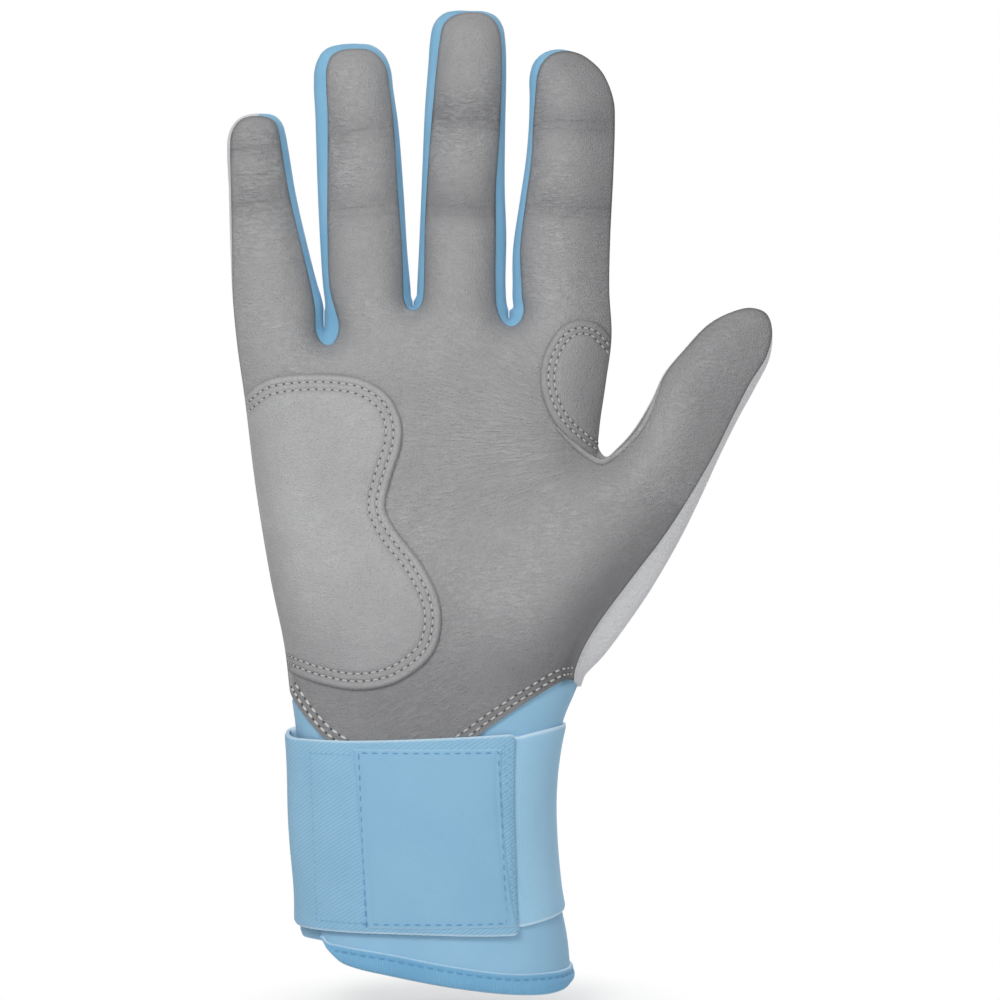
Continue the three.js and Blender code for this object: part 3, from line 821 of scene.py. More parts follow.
# Palm side: one skin over the hand and all the digits, crowned from its seam
front = {
    "spacing": 1.2,
    "insets": [0.18, 0.55, 1.1],
    "reach": 9.0,
    "rise": 11.3,
    "heelSwell": 0.38,
    "mounds": [
        (50, 117, 21, 2.6), (-27, 112, 24, 1.2), (11, 134, 25, -2.8), (-38, 168, 11, 0.9),
        (-14, 171, 11, 1.0), (9.5, 172, 11, 1.0), (35, 169, 12, 0.9), (62, 134, 9, -0.8),
    ],
    "creaseDepth": 1.0,
    "creaseWidth": (3.2, 4.5),  # towards the tip, towards the palm
    "creaseShift": {"pinky": (2.2, 2.4), "ring": (-0.6, -2.0), "middle": (-3.2, -3.3), "index": (-0.5, 4.0)},
    "flexWidth": (8.0, 8.0),
    "duskWidth": (10.0, 3.0),
    "waviness": 0.3,
    "wrinkle": 0.06,
    "wristOff": 1.5,
    "wristZone": (82, 102),
    "dusk": {"index": 0.22, "middle": 0.5, "ring": 0.08, "pinky": 0.2, "thumb": 0.0},  # shade above each bend
    "turn": (0.42, 9.0),  # how much and how far the thumb side and the index side turn away; painted shade there has the same reach
    # Spots of painted shade and of a painted highlight on the palm
    "paintedShadeSpot": (28, 87, 11, 9),  # x, z, half width and half height
    "paintedHighlightSpot": (20, 107, 9, 6),
    "hollow": (14, 158, 26, 24),  # the hollow of the hand is left out of the painted shade and stays palest
}
edgePath = smoothPath([tuple(palmSeam[-1]), *palmEdge[1:]], 1.0)
frontLoop = np.vstack([palmSeam, edgePath[1:-1]])
flat, frontTris = triangulate(frontLoop, cutLines(frontLoop), front["spacing"], front["insets"])
crown = crownFrom(flat, frontTris, palmSeam, front["reach"])
# Seam dirt along the seam; painted shade is added to it further down
dirtAndShade = 1 - ease(crown, 0.0, 0.06)
across, up = flat.T
# Painted shade on the palm: darker towards the wrist and low on the thumb side, with a darker spot, and a
# paler spot that stands for a highlight
paintedShade = 0.9 * (1 - ease(up, 70, 124)) * ease(crown, 0.0, 0.3)  # painted shade, darker towards the wrist
paintedShade += 0.25 * ease(across, 30, 48) * (1 - ease(up, 128, 142))
paintedShade += 0.42 * spotOn(flat, *front["paintedShadeSpot"])
paintedShade *= 1 - 0.8 * spotOn(flat, *front["paintedHighlightSpot"])


# How far each point is above each bend past the knuckle, along a crease that bows towards the tip
def bendsOn(points, shifts):
    mine = labelsOf(points)
    for digit, part in digits.items():
        station, side = stationsOf(points, digit)
        onDigit = np.isin(mine, [i for i, label in enumerate(labels) if label[0] == digit])
        for bend, shift in zip(part["bends"][1:], shifts.get(digit, (0, 0))):
            yield digit, onDigit, station - bend - shift - 0.006 * side**2


def creasesOn(points, widths, shifts, weights={"thumb": 0.25}):
    total = np.zeros(len(points))
    for digit, onDigit, bow in bendsOn(points, shifts):
        total += weights.get(digit, 1.0) * onDigit * bell(bow, np.where(bow > 0, *widths))
    return total


def gapToCrease(points, shifts):
    gap = np.full(len(points), 50.0)
    for _, onDigit, bow in bendsOn(points, shifts):
        gap = np.where(onDigit & (np.abs(bow) < np.abs(gap)), bow, gap)
    return gap


swell = front["rise"] * (1 + front["heelSwell"] * (1 - ease(up, 90, 132)))
depth = swell * rounded(crown)
depth += ease(crown, 0.15, 0.6) * moundsOver(flat, front["mounds"])
frontCrease = creasesOn(flat, front["creaseWidth"], front["creaseShift"])
depth -= front["creaseDepth"] * frontCrease * ease(crown, 0.02, 0.2)
inside = ease(crown, 0.05, 0.3)
depth += front["waviness"] * inside * (ripple(flat, 17, 3.1) + 0.5 * ripple(flat, 7, 8.7))
flex = np.clip(creasesOn(flat, front["flexWidth"], front["creaseShift"]), 0, 1)
bendGap = gapToCrease(flat, front["creaseShift"])
wrinkle = ripple(flat * (0.34, 1.0), 1.7, 4.4)
depth += front["wrinkle"] * inside * (0.25 + flex) * wrinkle * ease(up, 178, 190)
outerSide = np.isin(seamRun, ["radialSide", "thumbSide"]) | ((seamRun == "index") & (seamX > 40))
outerSide |= (seamRun == "thumb") & (seamOrder > np.argmax(seamX))
turn, turnReach = front["turn"]
turned = bell(distanceTo(flat, seamLine[outerSide]), turnReach)
depth *= 1 - turn * turned
onThumb = ease(across, 62, 76)
unshadedHollow = spotOn(flat, *front["hollow"])
# Painted shade where the thumb side and the index side turn away, over the thumb, and everywhere outside the
# hollow of the hand, a little more on the fingers; then painted shade above each bend
dirtAndShade += 0.7 * (1 - onThumb) * turned + 0.55 * onThumb + 0.18 * (1 - unshadedHollow) + 0.08 * ease(up, 182, 200)
dirtAndShade += creasesOn(flat, front["duskWidth"], front["creaseShift"], front["dusk"])
depth += hand["seamFront"]
depth = ontoWrist(depth, flat, "front", front, hand["seamFront"], palmSeam)
frontSkin = np.column_stack([flat[:, 0], -depth, flat[:, 1]])
frontNormals = vertexNormals(frontSkin, frontTris)
frontLabels = labelsOf(flat[frontTris].mean(1))
frontTree = treeOf(frontSkin, frontTris)
print("palm side", len(flat), "points")

# Side walls from the palm seam to the back seam: gusset cloth between the fingers, back leather elsewhere
walls = {
    "rows": 9,
    "gussetDrift": 0.3,
    "leatherDrift": 0.85,
    "tuck": 0.3,
    "slits": [(-27.9, 184.4, 4.0), (-3.8, 186.9, 1.4), (22.1, 184.5, 1.6)],  # x, top and closing length
    "slitFall": 0.5,
}
pinkyTip, indexTip = (np.argmax(np.where(seamRun == run, seamZ, -1e9)) for run in ("pinky", "index"))
isGusset = np.isin(seamRun, ["ring", "middle"])
isGusset |= (seamRun == "pinky") & (seamOrder > pinkyTip)
isGusset |= (seamRun == "index") & (seamOrder < indexTip + 4)
share = np.linspace(0, 1, walls["rows"])
drift = np.where(isGusset, walls["gussetDrift"], walls["leatherDrift"])[:, None]
bulge = np.sin(np.pi * share) ** 0.75
profile = drift * ease(share, 0, 1) + (1 - drift * 0.5) * bulge
push = seamLip[:, None] * profile
push = push - np.where(isGusset, walls["tuck"], 0)[:, None] * (1 - ease(share, 0, 0.25))
offset = seamOut[:, None, :] * push[..., None]
for x, top, reach in walls["slits"]:
    aside = seamX - x
    closed = (np.abs(aside) < 7) * (1 - ease(seamZ, top - 0.5, top + reach))
    fall = walls["slitFall"] * np.maximum(top - seamZ, 0)
    ridge = np.column_stack([x + 0.12 * np.clip(aside / 2, -1, 1), top - fall])
    toRidge = (ridge - seamLine)[:, None, :] * profile[..., None]
    offset += closed[:, None, None] * (toRidge - offset)
wallPlan = seamLine[:, None, :] + offset
wallDepth = -hand["seamFront"] + (hand["seamFront"] + hand["seamBack"]) * share
wallSkin = np.stack([wallPlan[..., 0], np.broadcast_to(wallDepth, push.shape), wallPlan[..., 1]], -1)
rows = walls["rows"]
wallTris = gridTris(len(seam), rows)
wallFlat = wallSkin.reshape(-1, 3)
wallOwner = np.tile(np.repeat(np.arange(len(seam) - 1), rows - 1), 2)
seamLabels = labelsOf(seamLine - seamOut * 0.3)

# Back of the hand, from the back seam
back = {
    "spacing": 1.6,
    "insets": [0.25, 0.8, 1.5],
    "reach": 9.0,
    "rise": 8.8,
    "mounds": [
        (-38, 182, 9, 1.2), (-14, 184, 10, 1.8), (9.5, 185, 10, 2.0), (35, 183, 10, 1.7),
        (0, 130, 30, 1.0),
    ],
    "creaseDepth": 0.5,
    "creaseWidth": (2.2, 2.2),
    "waviness": 0.3,
    "wristOff": 1.2,
    "wristZone": (82, 104),
    "tucks": [
        [(-25.4, 167), (-22, 140), (-16, 108)],
        [(-3, 175), (-2.6, 140), (-1.5, 108)],
        [(22.5, 170), (19.5, 140), (13.5, 108)],
    ],
    "tuckRise": 0.75,
    "tuckWidth": 0.75,
}
backSeamLine = wallPlan[:, -1]
backEdge = [tuple(backSeamLine[-1]), (36, 82.2), (0, 76), (-30, 79), tuple(backSeamLine[0])]
backPath = smoothPath(backEdge, 1.4)
backLoop = np.vstack([backSeamLine, backPath[1:-1]])
backFlat, backTris = triangulate(backLoop, cutLines(backLoop), back["spacing"], back["insets"])
backCrown = crownFrom(backFlat, backTris, backSeamLine, back["reach"])
depth = back["rise"] * rounded(backCrown)
depth += ease(backCrown, 0.1, 0.5) * moundsOver(backFlat, back["mounds"])
depth -= back["creaseDepth"] * creasesOn(backFlat, back["creaseWidth"], {}) * ease(backCrown, 0.02, 0.2)
depth += back["waviness"] * ease(backCrown, 0.05, 0.3) * ripple(backFlat, 15, 5.2)
tuckLines = [smoothPath(tuck, 0.6) for tuck in back["tucks"]]
for line in tuckLines:
    top, foot = line[0, 1], line[-1, 1]
    fade = ease(backFlat[:, 1], foot - 4, foot + 6) * (1 - ease(backFlat[:, 1], top - 6, top + 2))
    depth += back["tuckRise"] * fade * bell(distanceTo(backFlat, line), back["tuckWidth"])
depth += hand["seamBack"]
depth = ontoWrist(depth, backFlat, "back", back, hand["seamBack"], backSeamLine)
backSheet = np.column_stack([backFlat[:, 0], depth, backFlat[:, 1]])

# The back skin with its side walls sewn on: points that fall together become one
leatherWall = ~isGusset[wallOwner]
everyPoint = np.vstack([backSheet, wallFlat])
everyTri = np.vstack([backTris[:, ::-1], wallTris[leatherWall] + len(backSheet)])
_, firstOf, merged = np.unique(np.round(everyPoint, 2), axis=0, return_index=True, return_inverse=True)
merged = merged.reshape(-1)
backSkin = everyPoint[firstOf]
backSkinTris = merged[everyTri]
backLabels = np.concatenate([labelsOf(backFlat[backTris].mean(1)), seamLabels[wallOwner[leatherWall]]])
whole = np.all(backSkinTris != np.roll(backSkinTris, 1, axis=1), axis=1)
backSkinTris, backLabels = backSkinTris[whole], backLabels[whole]
backNormals = vertexNormals(backSkin, backSkinTris)
backDirt = np.zeros(len(backSkin))
backDirt[merged[: len(backSheet)]] = 0.3 * (1 - ease(backCrown, 0.0, 0.1))
print("back and sides", len(backSkin), "points")

gussetTris = wallTris[isGusset[wallOwner]]
gussetOwner = wallOwner[isGusset[wallOwner]]
gussetNormals = vertexNormals(wallFlat, wallTris)
gussetWeave = np.column_stack([np.tile(share * 8, len(seam)), np.repeat(lengthAlong(seamLine), rows)])

# A digit's lengths each have one hinge: the span about it is worked out and the piece's transform baked, but
# nothing is made to turn
segmentNames = ["root", "knuckle", "end"]


def bendPiece(piece, digit, length):
    spec = digits[digit]
    bend = spec["bends"][length]
    low, high = bend - bending["reach"], bend + bending["reach"]
    if length == 0:
        low, high = spec["cuts"][0] + 0.2, bend + bending["rootReach"][digit == "thumb"]
    places = [spec["origin"] + spec["along"] * at for at in (low, high)]
    start, end = (Vector((p[0], 0, p[1])) * mm for p in places)
    spec["bodies"][length + 1]
    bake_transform(piece)
    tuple(start)
    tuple(end)


def rideOn(piece, body, slot, *nodes):
    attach(piece, body)
    if nodes:
        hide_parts(*nodes)


# A cut sheet's width and length, from its flat area and longest side,
# or from a strip's own width and what its seams take up; a sheet too narrow is printed
def declareSheet(piece, strip=None, seams=0.0):
    area = sum(face.area for face in piece.data.polygons) / 2
    points = np.array([tuple(v.co) for v in piece.data.vertices])
    long = area / (strip * mm) if strip else float(np.max(np.ptp(points, axis=0)))
    wide = area / long + seams * mm
    if min(wide, long) > 0.0101:
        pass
    else:
        print("too narrow to declare:", piece.name, round(wide, 4), round(long, 4))


bothSides = ["ulnar", "radial"]
gussetSides = {"index": ["ulnar"], "middle": bothSides, "ring": bothSides, "pinky": ["radial"]}
# Point attributes for the leather: seam dirt with painted shade, and the wrinkle masks
palmShadeAndWear = {"dirtAndShade": dirtAndShade + paintedShade, "flex": flex, "bendGap": bendGap}
backWear = {"dirtAndShade": backDirt}
fingerShadeAndWear = {
    # The finger fronts also carry painted shade in their creases
    "Front": {**palmShadeAndWear, "dirtAndShade": dirtAndShade + 0.18 * frontCrease},
    "Back": backWear,
    "Gusset": None,
}
for number, (digit, length) in enumerate(labels):
    if digit == "hand":
        continue
    body = digits[digit]["bodies"][length + 1]
    segment = "end" if length == len(digits[digit]["bends"]) - 1 else segmentNames[length]
    gussetHere = gussetTris[seamLabels[gussetOwner] == number]
    skins = {
        "Front": (frontSkin, frontTris[frontLabels == number], frontNormals, palmLeather, hand["leather"]),
        "Back": (backSkin, backSkinTris[backLabels == number], backNormals, backLeather, hand["leather"]),
        "Gusset": (wallFlat, gussetHere, gussetNormals, gussetCloth, hand["cloth"]),
    }
    for side, (skin, tris, normals, material, thick) in skins.items():
        if not len(tris):
            continue
        weave = gussetWeave if side == "Gusset" else None
        name = f"{digit}{segment.title()}{side}"
        piece = shell(name, skin, skin - normals * thick, tris, normals, material, weave, fingerShadeAndWear[side])
        bendPiece(piece, digit, length)
        if side == "Gusset":
            ways = [""] if segment == "end" else [f"_{way}" for way in gussetSides[digit]]
            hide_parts(*[f"{body}_gusset{way}" for way in ways])
            declareSheet(piece, hand["gusset"], hand["allowance"])
        else:
            kind = "palm" if side == "Front" else "back"
            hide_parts(f"{body}_{kind}")
            declareSheet(piece)

frontInner = frontSkin - frontNormals * hand["leather"]
palmTris = frontTris[frontLabels == 0]
palmPanel = shell("palmPanel", frontSkin, frontInner, palmTris, frontNormals, palmLeather, None, palmShadeAndWear)
rideOn(palmPanel, "hand", "palm_leather", "palm_leather")
declareSheet(palmPanel)
backInner = backSkin - backNormals * hand["leather"]
handTris = backSkinTris[backLabels == 0]
backPanel = shell("backPanel", backSkin, backInner, handTris, backNormals, backLeather, None, backWear)
rideOn(backPanel, "hand", "back_leather", "back_of_hand")
declareSheet(backPanel)
# Webs at the finger crotches, each between two x
webs = {"web_pinky_ring": (-36, -18), "web_ring_middle": (-12, 5), "web_middle_index": (12, 32)}
wallInner = wallFlat - gussetNormals * hand["cloth"]
gussetX = seamX[gussetOwner]
for node, (low, high) in webs.items():
    here = (seamLabels[gussetOwner] == 0) & (gussetX > low) & (gussetX < high)
    name = "web" + node[4:].title().replace("_", "")
    web = shell(name, wallFlat, wallInner, gussetTris[here], gussetNormals, gussetCloth, gussetWeave)
    rideOn(web, "hand", "gusset_cloth", node)
    declareSheet(web, hand["gusset"], hand["allowance"])
print("hand and digits dressed")

# Overlays: a raised sheet on the palm leather with two sewn channels along its free edge
stitchRows = {}


def overlay(name, freeEdge, closing, look, material):
    edge = smoothPath(freeEdge, 0.8)
    loop = np.vstack([edge, closing])
    plan, tris = triangulate(loop, [], look["spacing"], look["insets"])
    rim = rimOf(plan, tris)
    edgeCrown = crownOver(plan, tris, rim, look["edgeReach"])
    padCrown = crownOver(plan, tris, rim, look["padReach"])
    ground = np.nan_to_num(depthsOn(frontTree, plan), nan=-hand["seamFront"])
    toEdge = distanceTo(plan, edge)
    rise = look["edge"] + look["round"] * rounded(edgeCrown) + look["puff"] * padCrown
    for row in look["rows"]:
        rise -= look["channel"] * bell(toEdge - row, look["channelWidth"])
    lift = np.maximum(rise, 0.15)
    base = np.column_stack([plan[:, 0], ground, plan[:, 1]])
    outward = np.array([0, -1.0, 0])
    outer = base + outward * lift[:, None]
    inner = base + outward * 0.04
    normals = vertexNormals(outer, tris)
    # Edge dirt along the free edge; painted shade in the sewn channels, at the heel pad's low end and on the
    # side where the index patch turns away
    edgeDirtAndShade = 0.8 * (1 - ease(toEdge, 0, 1.1))
    for row in look["rows"]:
        edgeDirtAndShade = np.maximum(edgeDirtAndShade, 0.55 * bell(toEdge - row, 0.5))
    edgeDirtAndShade = edgeDirtAndShade + look["low"] * (1 - ease(plan[:, 1], 95, 124))
    edgeDirtAndShade = edgeDirtAndShade + look["shade"] * bell(distanceTo(plan, closing), 6.5)
    piece = shell(name, outer, inner, tris, normals, material, None, {"dirtAndShade": edgeDirtAndShade})
    tree = treeOf(outer, tris)
    # The rows run on past both ends of the free edge, to the side of the hand
    ahead = np.arange(0.5, 3.6, 0.5)[:, None]
    before = edge[0] + ahead[::-1] * unit(edge[0] - edge[2])
    run = np.vstack([before, edge, edge[-1] + ahead * unit(edge[-1] - edge[-3])])
    inward = leftOf(run) * look["side"]
    stitchRows[name] = []
    for row in look["rows"]:
        line = run + inward * row
        onSheet = pointsInside(line, loop) & (distanceTo(line, closing) > 0.5)
        stitchRows[name].append(onSurface(line[onSheet & (distanceTo(line, edge) > row * 0.93)], tree))
    return piece


heelPad = {
    "edgePoints": [
        (-48.7, 161.3), (-43.8, 164.6), (-38.5, 166), (-25.6, 166.6), (-16, 164.9), (-9.4, 160.3),
        (-6.5, 154), (-6.5, 147.9), (-9.4, 138.1), (-10.7, 131.2), (-8, 125.5), (-1.1, 116.5),
        (3.4, 107.5), (4.2, 99.9), (2.1, 92.9), (-2.9, 87.9), (-9.2, 84.5), (-18.2, 83.1),
        (-27.4, 84.4), (-37, 87.2),
    ],
    "spacing": 1.3,
    "insets": [0.15, 0.45, 0.9, 1.5, 2.0, 2.3, 2.6, 3.2, 3.9, 4.3, 4.7, 5.4],
    "edge": 0.55,
    "round": 0.75,
    "puff": 1.3,
    "edgeReach": 0.8,
    "padReach": 9.0,
    "rows": [2.3, 4.3],
    "channel": 0.42,
    "channelWidth": 0.55,
    "side": -1,
    "shade": 0.15,
    "low": 0.36,
}
upSide = (seamZ > 88.5) & (seamZ < 161) & (seamOrder < len(seam) // 4)
sideOfPad = (seamLine - seamOut * 0.25)[upSide]
heelPiece = overlay("heelPad", heelPad["edgePoints"], sideOfPad, heelPad, overlayLeather)
rideOn(heelPiece, "hand", "overlay_leather", "heel_pad", "heel_pad_foam")

indexPatch = {
    "edgePoints": [
        (49.4, 177.3), (46.5, 180), (42.9, 181.1), (38.9, 180.7), (35.2, 178.3), (31.7, 172.6),
        (30.3, 166), (31.4, 159.3), (34.8, 152.8), (39.9, 148), (45.2, 144.2),
    ],
    "spacing": 1.2,
    "insets": [0.15, 0.45, 0.9, 1.5, 1.9, 2.2, 2.5, 3.1, 3.5, 3.8, 4.1, 4.8],
    "edge": 0.5,
    "round": 0.6,
    "puff": 0.3,
    "edgeReach": 0.7,
    "padReach": 6.0,
    "rows": [2.2, 3.8],
    "channel": 0.4,
    "channelWidth": 0.5,
    "side": 1,
    "shade": 0.95,
    "low": 0.0,
}
downSide = (seamRun == "radialSide") | ((seamRun == "thumb") & (seamX < 46.6))
downSide |= (seamRun == "index") & (seamX > 48) & (seamZ < 177)
sideOfPatch = (seamLine - seamOut * 0.25)[downSide][::-1]
patchPiece = overlay("indexPatch", indexPatch["edgePoints"], sideOfPatch, indexPatch, shadedPatchLeather)
rideOn(patchPiece, "hand", "overlay_leather", "index_patch")
declareSheet(patchPiece)
print("overlays sewn on")


# A rolled edge that lies on the hand: a tube swept along a path
def tube(name, path, radius, material, sides=10):
    path = np.array(path)
    ahead = unit(np.gradient(path, axis=0))
    out = unit(np.cross(ahead, np.cross(np.array([0, -1.0, 0]), ahead)))
    sideways = np.cross(ahead, out)
    angles = np.linspace(0, 2 * math.pi, sides, endpoint=False)
    taper = np.minimum(1, 0.3 + 0.7 * np.minimum(np.arange(len(path)), np.arange(len(path))[::-1]) / 8)
    c, s = np.cos(angles)[None, :, None], np.sin(angles)[None, :, None]
    rings = path[:, None] + radius * taper[:, None, None] * (c * out[:, None] + s * sideways[:, None])
    verts = np.vstack([rings.reshape(-1, 3), path[:1], path[-1:]])
    faces, last = [], len(path) - 1
    for i in range(sides):
        j = (i + 1) % sides
        for r in range(0, last * sides, sides):
            faces.append((r + i, r + j, r + sides + j, r + sides + i))
        end = last * sides
        faces += [(end + sides, j, i), (end + sides + 1, end + i, end + j)]
    mesh = bpy.data.meshes.new(name)
    mesh.from_pydata([tuple(v) for v in verts * mm], [], faces)
    mesh.shade_smooth()
    mesh.uv_layers.new(name="weave")
    mesh.materials.append(material)
    return addObject(name, mesh)


crotchSeam = {
    "path": [
        (34.9, 152.3), (36.7, 150.3), (40.4, 147), (44.2, 144.2), (47, 143.1), (51.6, 145.9),
        (57.3, 151.9), (60.3, 157.5), (63, 164.8),
    ],
    "radius": 0.8,
}
line = smoothPath(crotchSeam["path"], 1.0)
rolled = tube("crotchSeam", onSurface(line, frontTree, 0.3), crotchSeam["radius"], shadedPatchLeather)
bendPiece(rolled, "thumb", 0)


# The cuff and strap: patches of the wrist's own surface, with their weave measured along it
def wristPatch(
    name, angles, low, high, off, thick, material,
    rows=24, edge=0.5, drop=0.4, lift=None, slant=None, hugs=False,
):
    angles = np.asarray(angles, float)
    t = (1 - np.cos(np.linspace(0, np.pi, rows))) / 2
    t = 0.5 * t + 0.5 * np.linspace(0, 1, rows)
    low, high = np.broadcast_to(low, angles.shape), np.broadcast_to(high, angles.shape)
    z = low[:, None] + (high - low)[:, None] * t
    across = np.repeat(angles[:, None], rows, 1)
    if slant:
        across = across + slant(across, z)
    ground = wristPoint(across, z, off)
    arc = lengthAlong(ground[:, rows // 2])
    ends = np.minimum(arc, arc[-1] - arc)[:, None]
    longEdge = np.minimum(z - low[:, None], high[:, None] - z)
    toEdge = np.minimum(longEdge, ends)
    fall = drop * (1 - np.clip(toEdge / edge, 0, 1)) ** 2
    rise = off + thick - fall + (lift(across, z) if lift else 0)
    outer = wristPoint(across, z, rise)
    inner = wristPoint(across, z, off - fall * 0.5 if hugs else rise - thick + fall * 0.5)
    tris = gridTris(len(angles), rows)
    outer, inner = outer.reshape(-1, 3), inner.reshape(-1, 3)
    weave = np.column_stack([np.repeat(arc, rows), z.reshape(-1)])
    # Where the painted highlight lies: along the long edges
    edgeHighlight = 1 - ease(longEdge.reshape(-1), 0.05, 0.42)
    return shell(name, outer, inner, tris, vertexNormals(outer, tris), material, weave, {"edgeHighlight": edgeHighlight})


def angleAt(x, z, off=0.0):
    left, right = (float(v) for v in wristAt(z)[:2])
    c = np.clip((x - (left + right) / 2) / ((right - left) / 2 + off), -1, 1)
    s = -((1 - abs(c) ** wristSquare) ** (1 / wristSquare))
    return math.atan2(s, c) % (2 * math.pi)


# A level that follows one line across the palm side and another across the back
def levelRound(angles, palmLine, backLine):
    x = wristPoint(np.asarray(angles), np.full(len(angles), 8.0), 1.5)[:, 0]
    line = smoothPath(palmLine, 0.5)
    onBack = np.interp(x, *np.array(backLine, float).T)
    return np.where(np.sin(angles) < 0, np.interp(x, line[:, 0], line[:, 1]), onBack)


cuff = {
    "hem": [
        (-60, 17.6), (-27.3, 17.2), (-26.4, 15.6), (-25.1, 14.1), (-22.4, 11.9), (-17.8, 10.5),
        (-9.6, 9.0), (2.5, 6.7), (12.4, 5.1), (22.6, 3.7), (32.7, 2.9), (37.4, 3.4), (38.8, 4.2),
        (60, 4.6),
    ],
    "backHem": [(-36, 18.2), (38.8, 4.2)],
    "top": [
        (-60, 86), (-35, 85), (-31, 80), (-26, 73.5), (-14, 67.5), (0, 66), (12, 73), (17, 76),
        (29, 83), (34, 87), (37, 88.6), (60, 89),
    ],
    "backTop": [(-40, 85), (-30, 82.5), (0, 80), (30, 84), (38, 86), (45, 88)],
    "tuck": 3.0,
    "tuckFrom": (83.4, 80.2),  # thumb side, little-finger side
    "tuckSides": (0.78, 0.93),
    "flapEdge": -27.3,
    "off": -0.6,
    "thick": 1.3,
    "underlapRight": -8,
    "underlap": (16.3, 84.0),
    "underlapOff": -2.1,
    "underlapThick": 1.2,
}
flapStart = angleAt(cuff["flapEdge"], 20)
flapAngles = np.linspace(flapStart, 3 * math.pi - 0.12, 200)
flapLow = levelRound(flapAngles, cuff["hem"], cuff["backHem"])
flapTop = levelRound(flapAngles, cuff["top"], cuff["backTop"])


# At its sides the top of the cuff turns in under the leather
def cuffTuck(across, z):
    begin = np.where(np.cos(across) > 0, *cuff["tuckFrom"])
    return -cuff["tuck"] * ease(np.abs(np.cos(across)), *cuff["tuckSides"]) * ease(z - begin, 0, 2.2)


cuffPiece = wristPatch(
    "cuffWrap", flapAngles, flapLow, flapTop, cuff["off"], cuff["thick"], cuffCloth, 48, lift=cuffTuck
)
rideOn(cuffPiece, "hand", "cuff_cloth", "cuff_wrap")
declareSheet(cuffPiece)


def underlapLift(across, z):
    rise = 1.5 * np.maximum(1 - ease(across, math.pi + 0.15, math.pi + 0.6), ease(z, 57, 66))
    tuck = ease(np.abs(np.cos(across)), *cuff["tuckSides"]) * ease(z - cuff["tuckFrom"][1], -1.2, 1.0)
    return rise - cuff["tuck"] * tuck


underAngles = np.linspace(math.pi - 0.13, angleAt(cuff["underlapRight"], 30), 60)
underLow, underTop = cuff["underlap"]
underLow = underLow + 2.2 * (1 - ease(underAngles, math.pi - 0.1, math.pi + 0.32))
underPiece = wristPatch(
    "cuffUnderlap", underAngles, underLow, underTop, cuff["underlapOff"], cuff["underlapThick"], cuffCloth,
    36, lift=underlapLift,
)
rideOn(underPiece, "hand", "cuff_cloth", "cuff_underlap")
declareSheet(underPiece)

binding = {
    "top": [
        (-60, 18.4), (-27.4, 17.6), (-26.7, 16.7), (-21.6, 15.9), (-9.6, 14.4), (5.4, 11.6),
        (22.6, 8.9), (32.7, 8.3), (38.8, 8.1), (60, 8.3),
    ],
    "backTop": [(-36, 21.8), (38.8, 8.1)],
    "stitchIn": 1.5,
    "stitchStart": 6,
    "off": 0.7,
    "thick": 0.6,
    "bulge": 0.55,
}
bindAngles = flapAngles[1:]
hemLow = levelRound(bindAngles, cuff["hem"], cuff["backHem"]) - 0.3
hemHigh = np.maximum(levelRound(bindAngles, binding["top"], binding["backTop"]), hemLow + 0.9)


def bindingLift(across, z):
    low, high = np.interp(across, bindAngles, hemLow), np.interp(across, bindAngles, hemHigh)
    share = np.clip((z - low) / (high - low), 0, 1)
    groove = bell(high - z - binding["stitchIn"], 0.4) * ease(high - low, 2.5, 4)
    return binding["bulge"] * np.sin(np.pi * share**0.8) - 0.4 * groove


hemPiece = wristPatch(
    "hemBinding", bindAngles, hemLow, hemHigh, binding["off"], binding["thick"], bindingCloth,
    18, 0.7, 0.3, bindingLift,
)
rideOn(hemPiece, "hand", "binding_cloth", "hem_binding")
print("cuff made")

strap = {
    "middle": 45,  # its middle height, where angles round the wrist are taken
    "radius": 28,  # millimetres to a radian across the palm side
    "padLevel": 42,
    "band": (22.0, 72.4),
    "bandStart": 14,
    "bandLowTurn": (1.0, 1.25),  # drop at the tab's end, rise at the thumb side
    "bandTopTurn": (1.7, 0.45),
    "tab": (19.8, 69.75),
    "tabFold": (1.05, 1.25),  # how much higher both edges are at the fold
    "tabRise": 1.8,
    "tabDrop": 0.9,
    "tabEnd": 23.8,
    "corner": 1.6,
    "bandOff": 0.8,
    "tabOff": 1.65,
    "thick": 1.1,
    "loop": (-24, 13.5, 22.5, 61.0),  # left, right, low, high
    "loopOff": 0.72,
    "hook": (-14, 20, 24.0, 60.0),
    "hookOff": 1.2,
    "pileThick": 0.42,
    "patch": (-17.35, 21.35, 21.3, 67.8),
    "patchThick": 0.6,
    "patchSeam": 1.0,
    "lean": 0.048,
    "flare": 1.3,
    "bridge": 2.2,  # how far the strap stands off the waist of the wrist
}


def strapFlare(across, z):
    bridge = strap["bridge"] * bell(z - 47, 17)
    return ease(-np.cos(across), 0.8, 1.0) * (strap["flare"] * ease(z, 42, 72) + bridge)


def tabLift(across, z):
    fold = (strap["tabOff"] - strap["bandOff"]) * (1 - ease(across, math.pi, math.pi + 0.4))
    return strapFlare(across, z) - fold


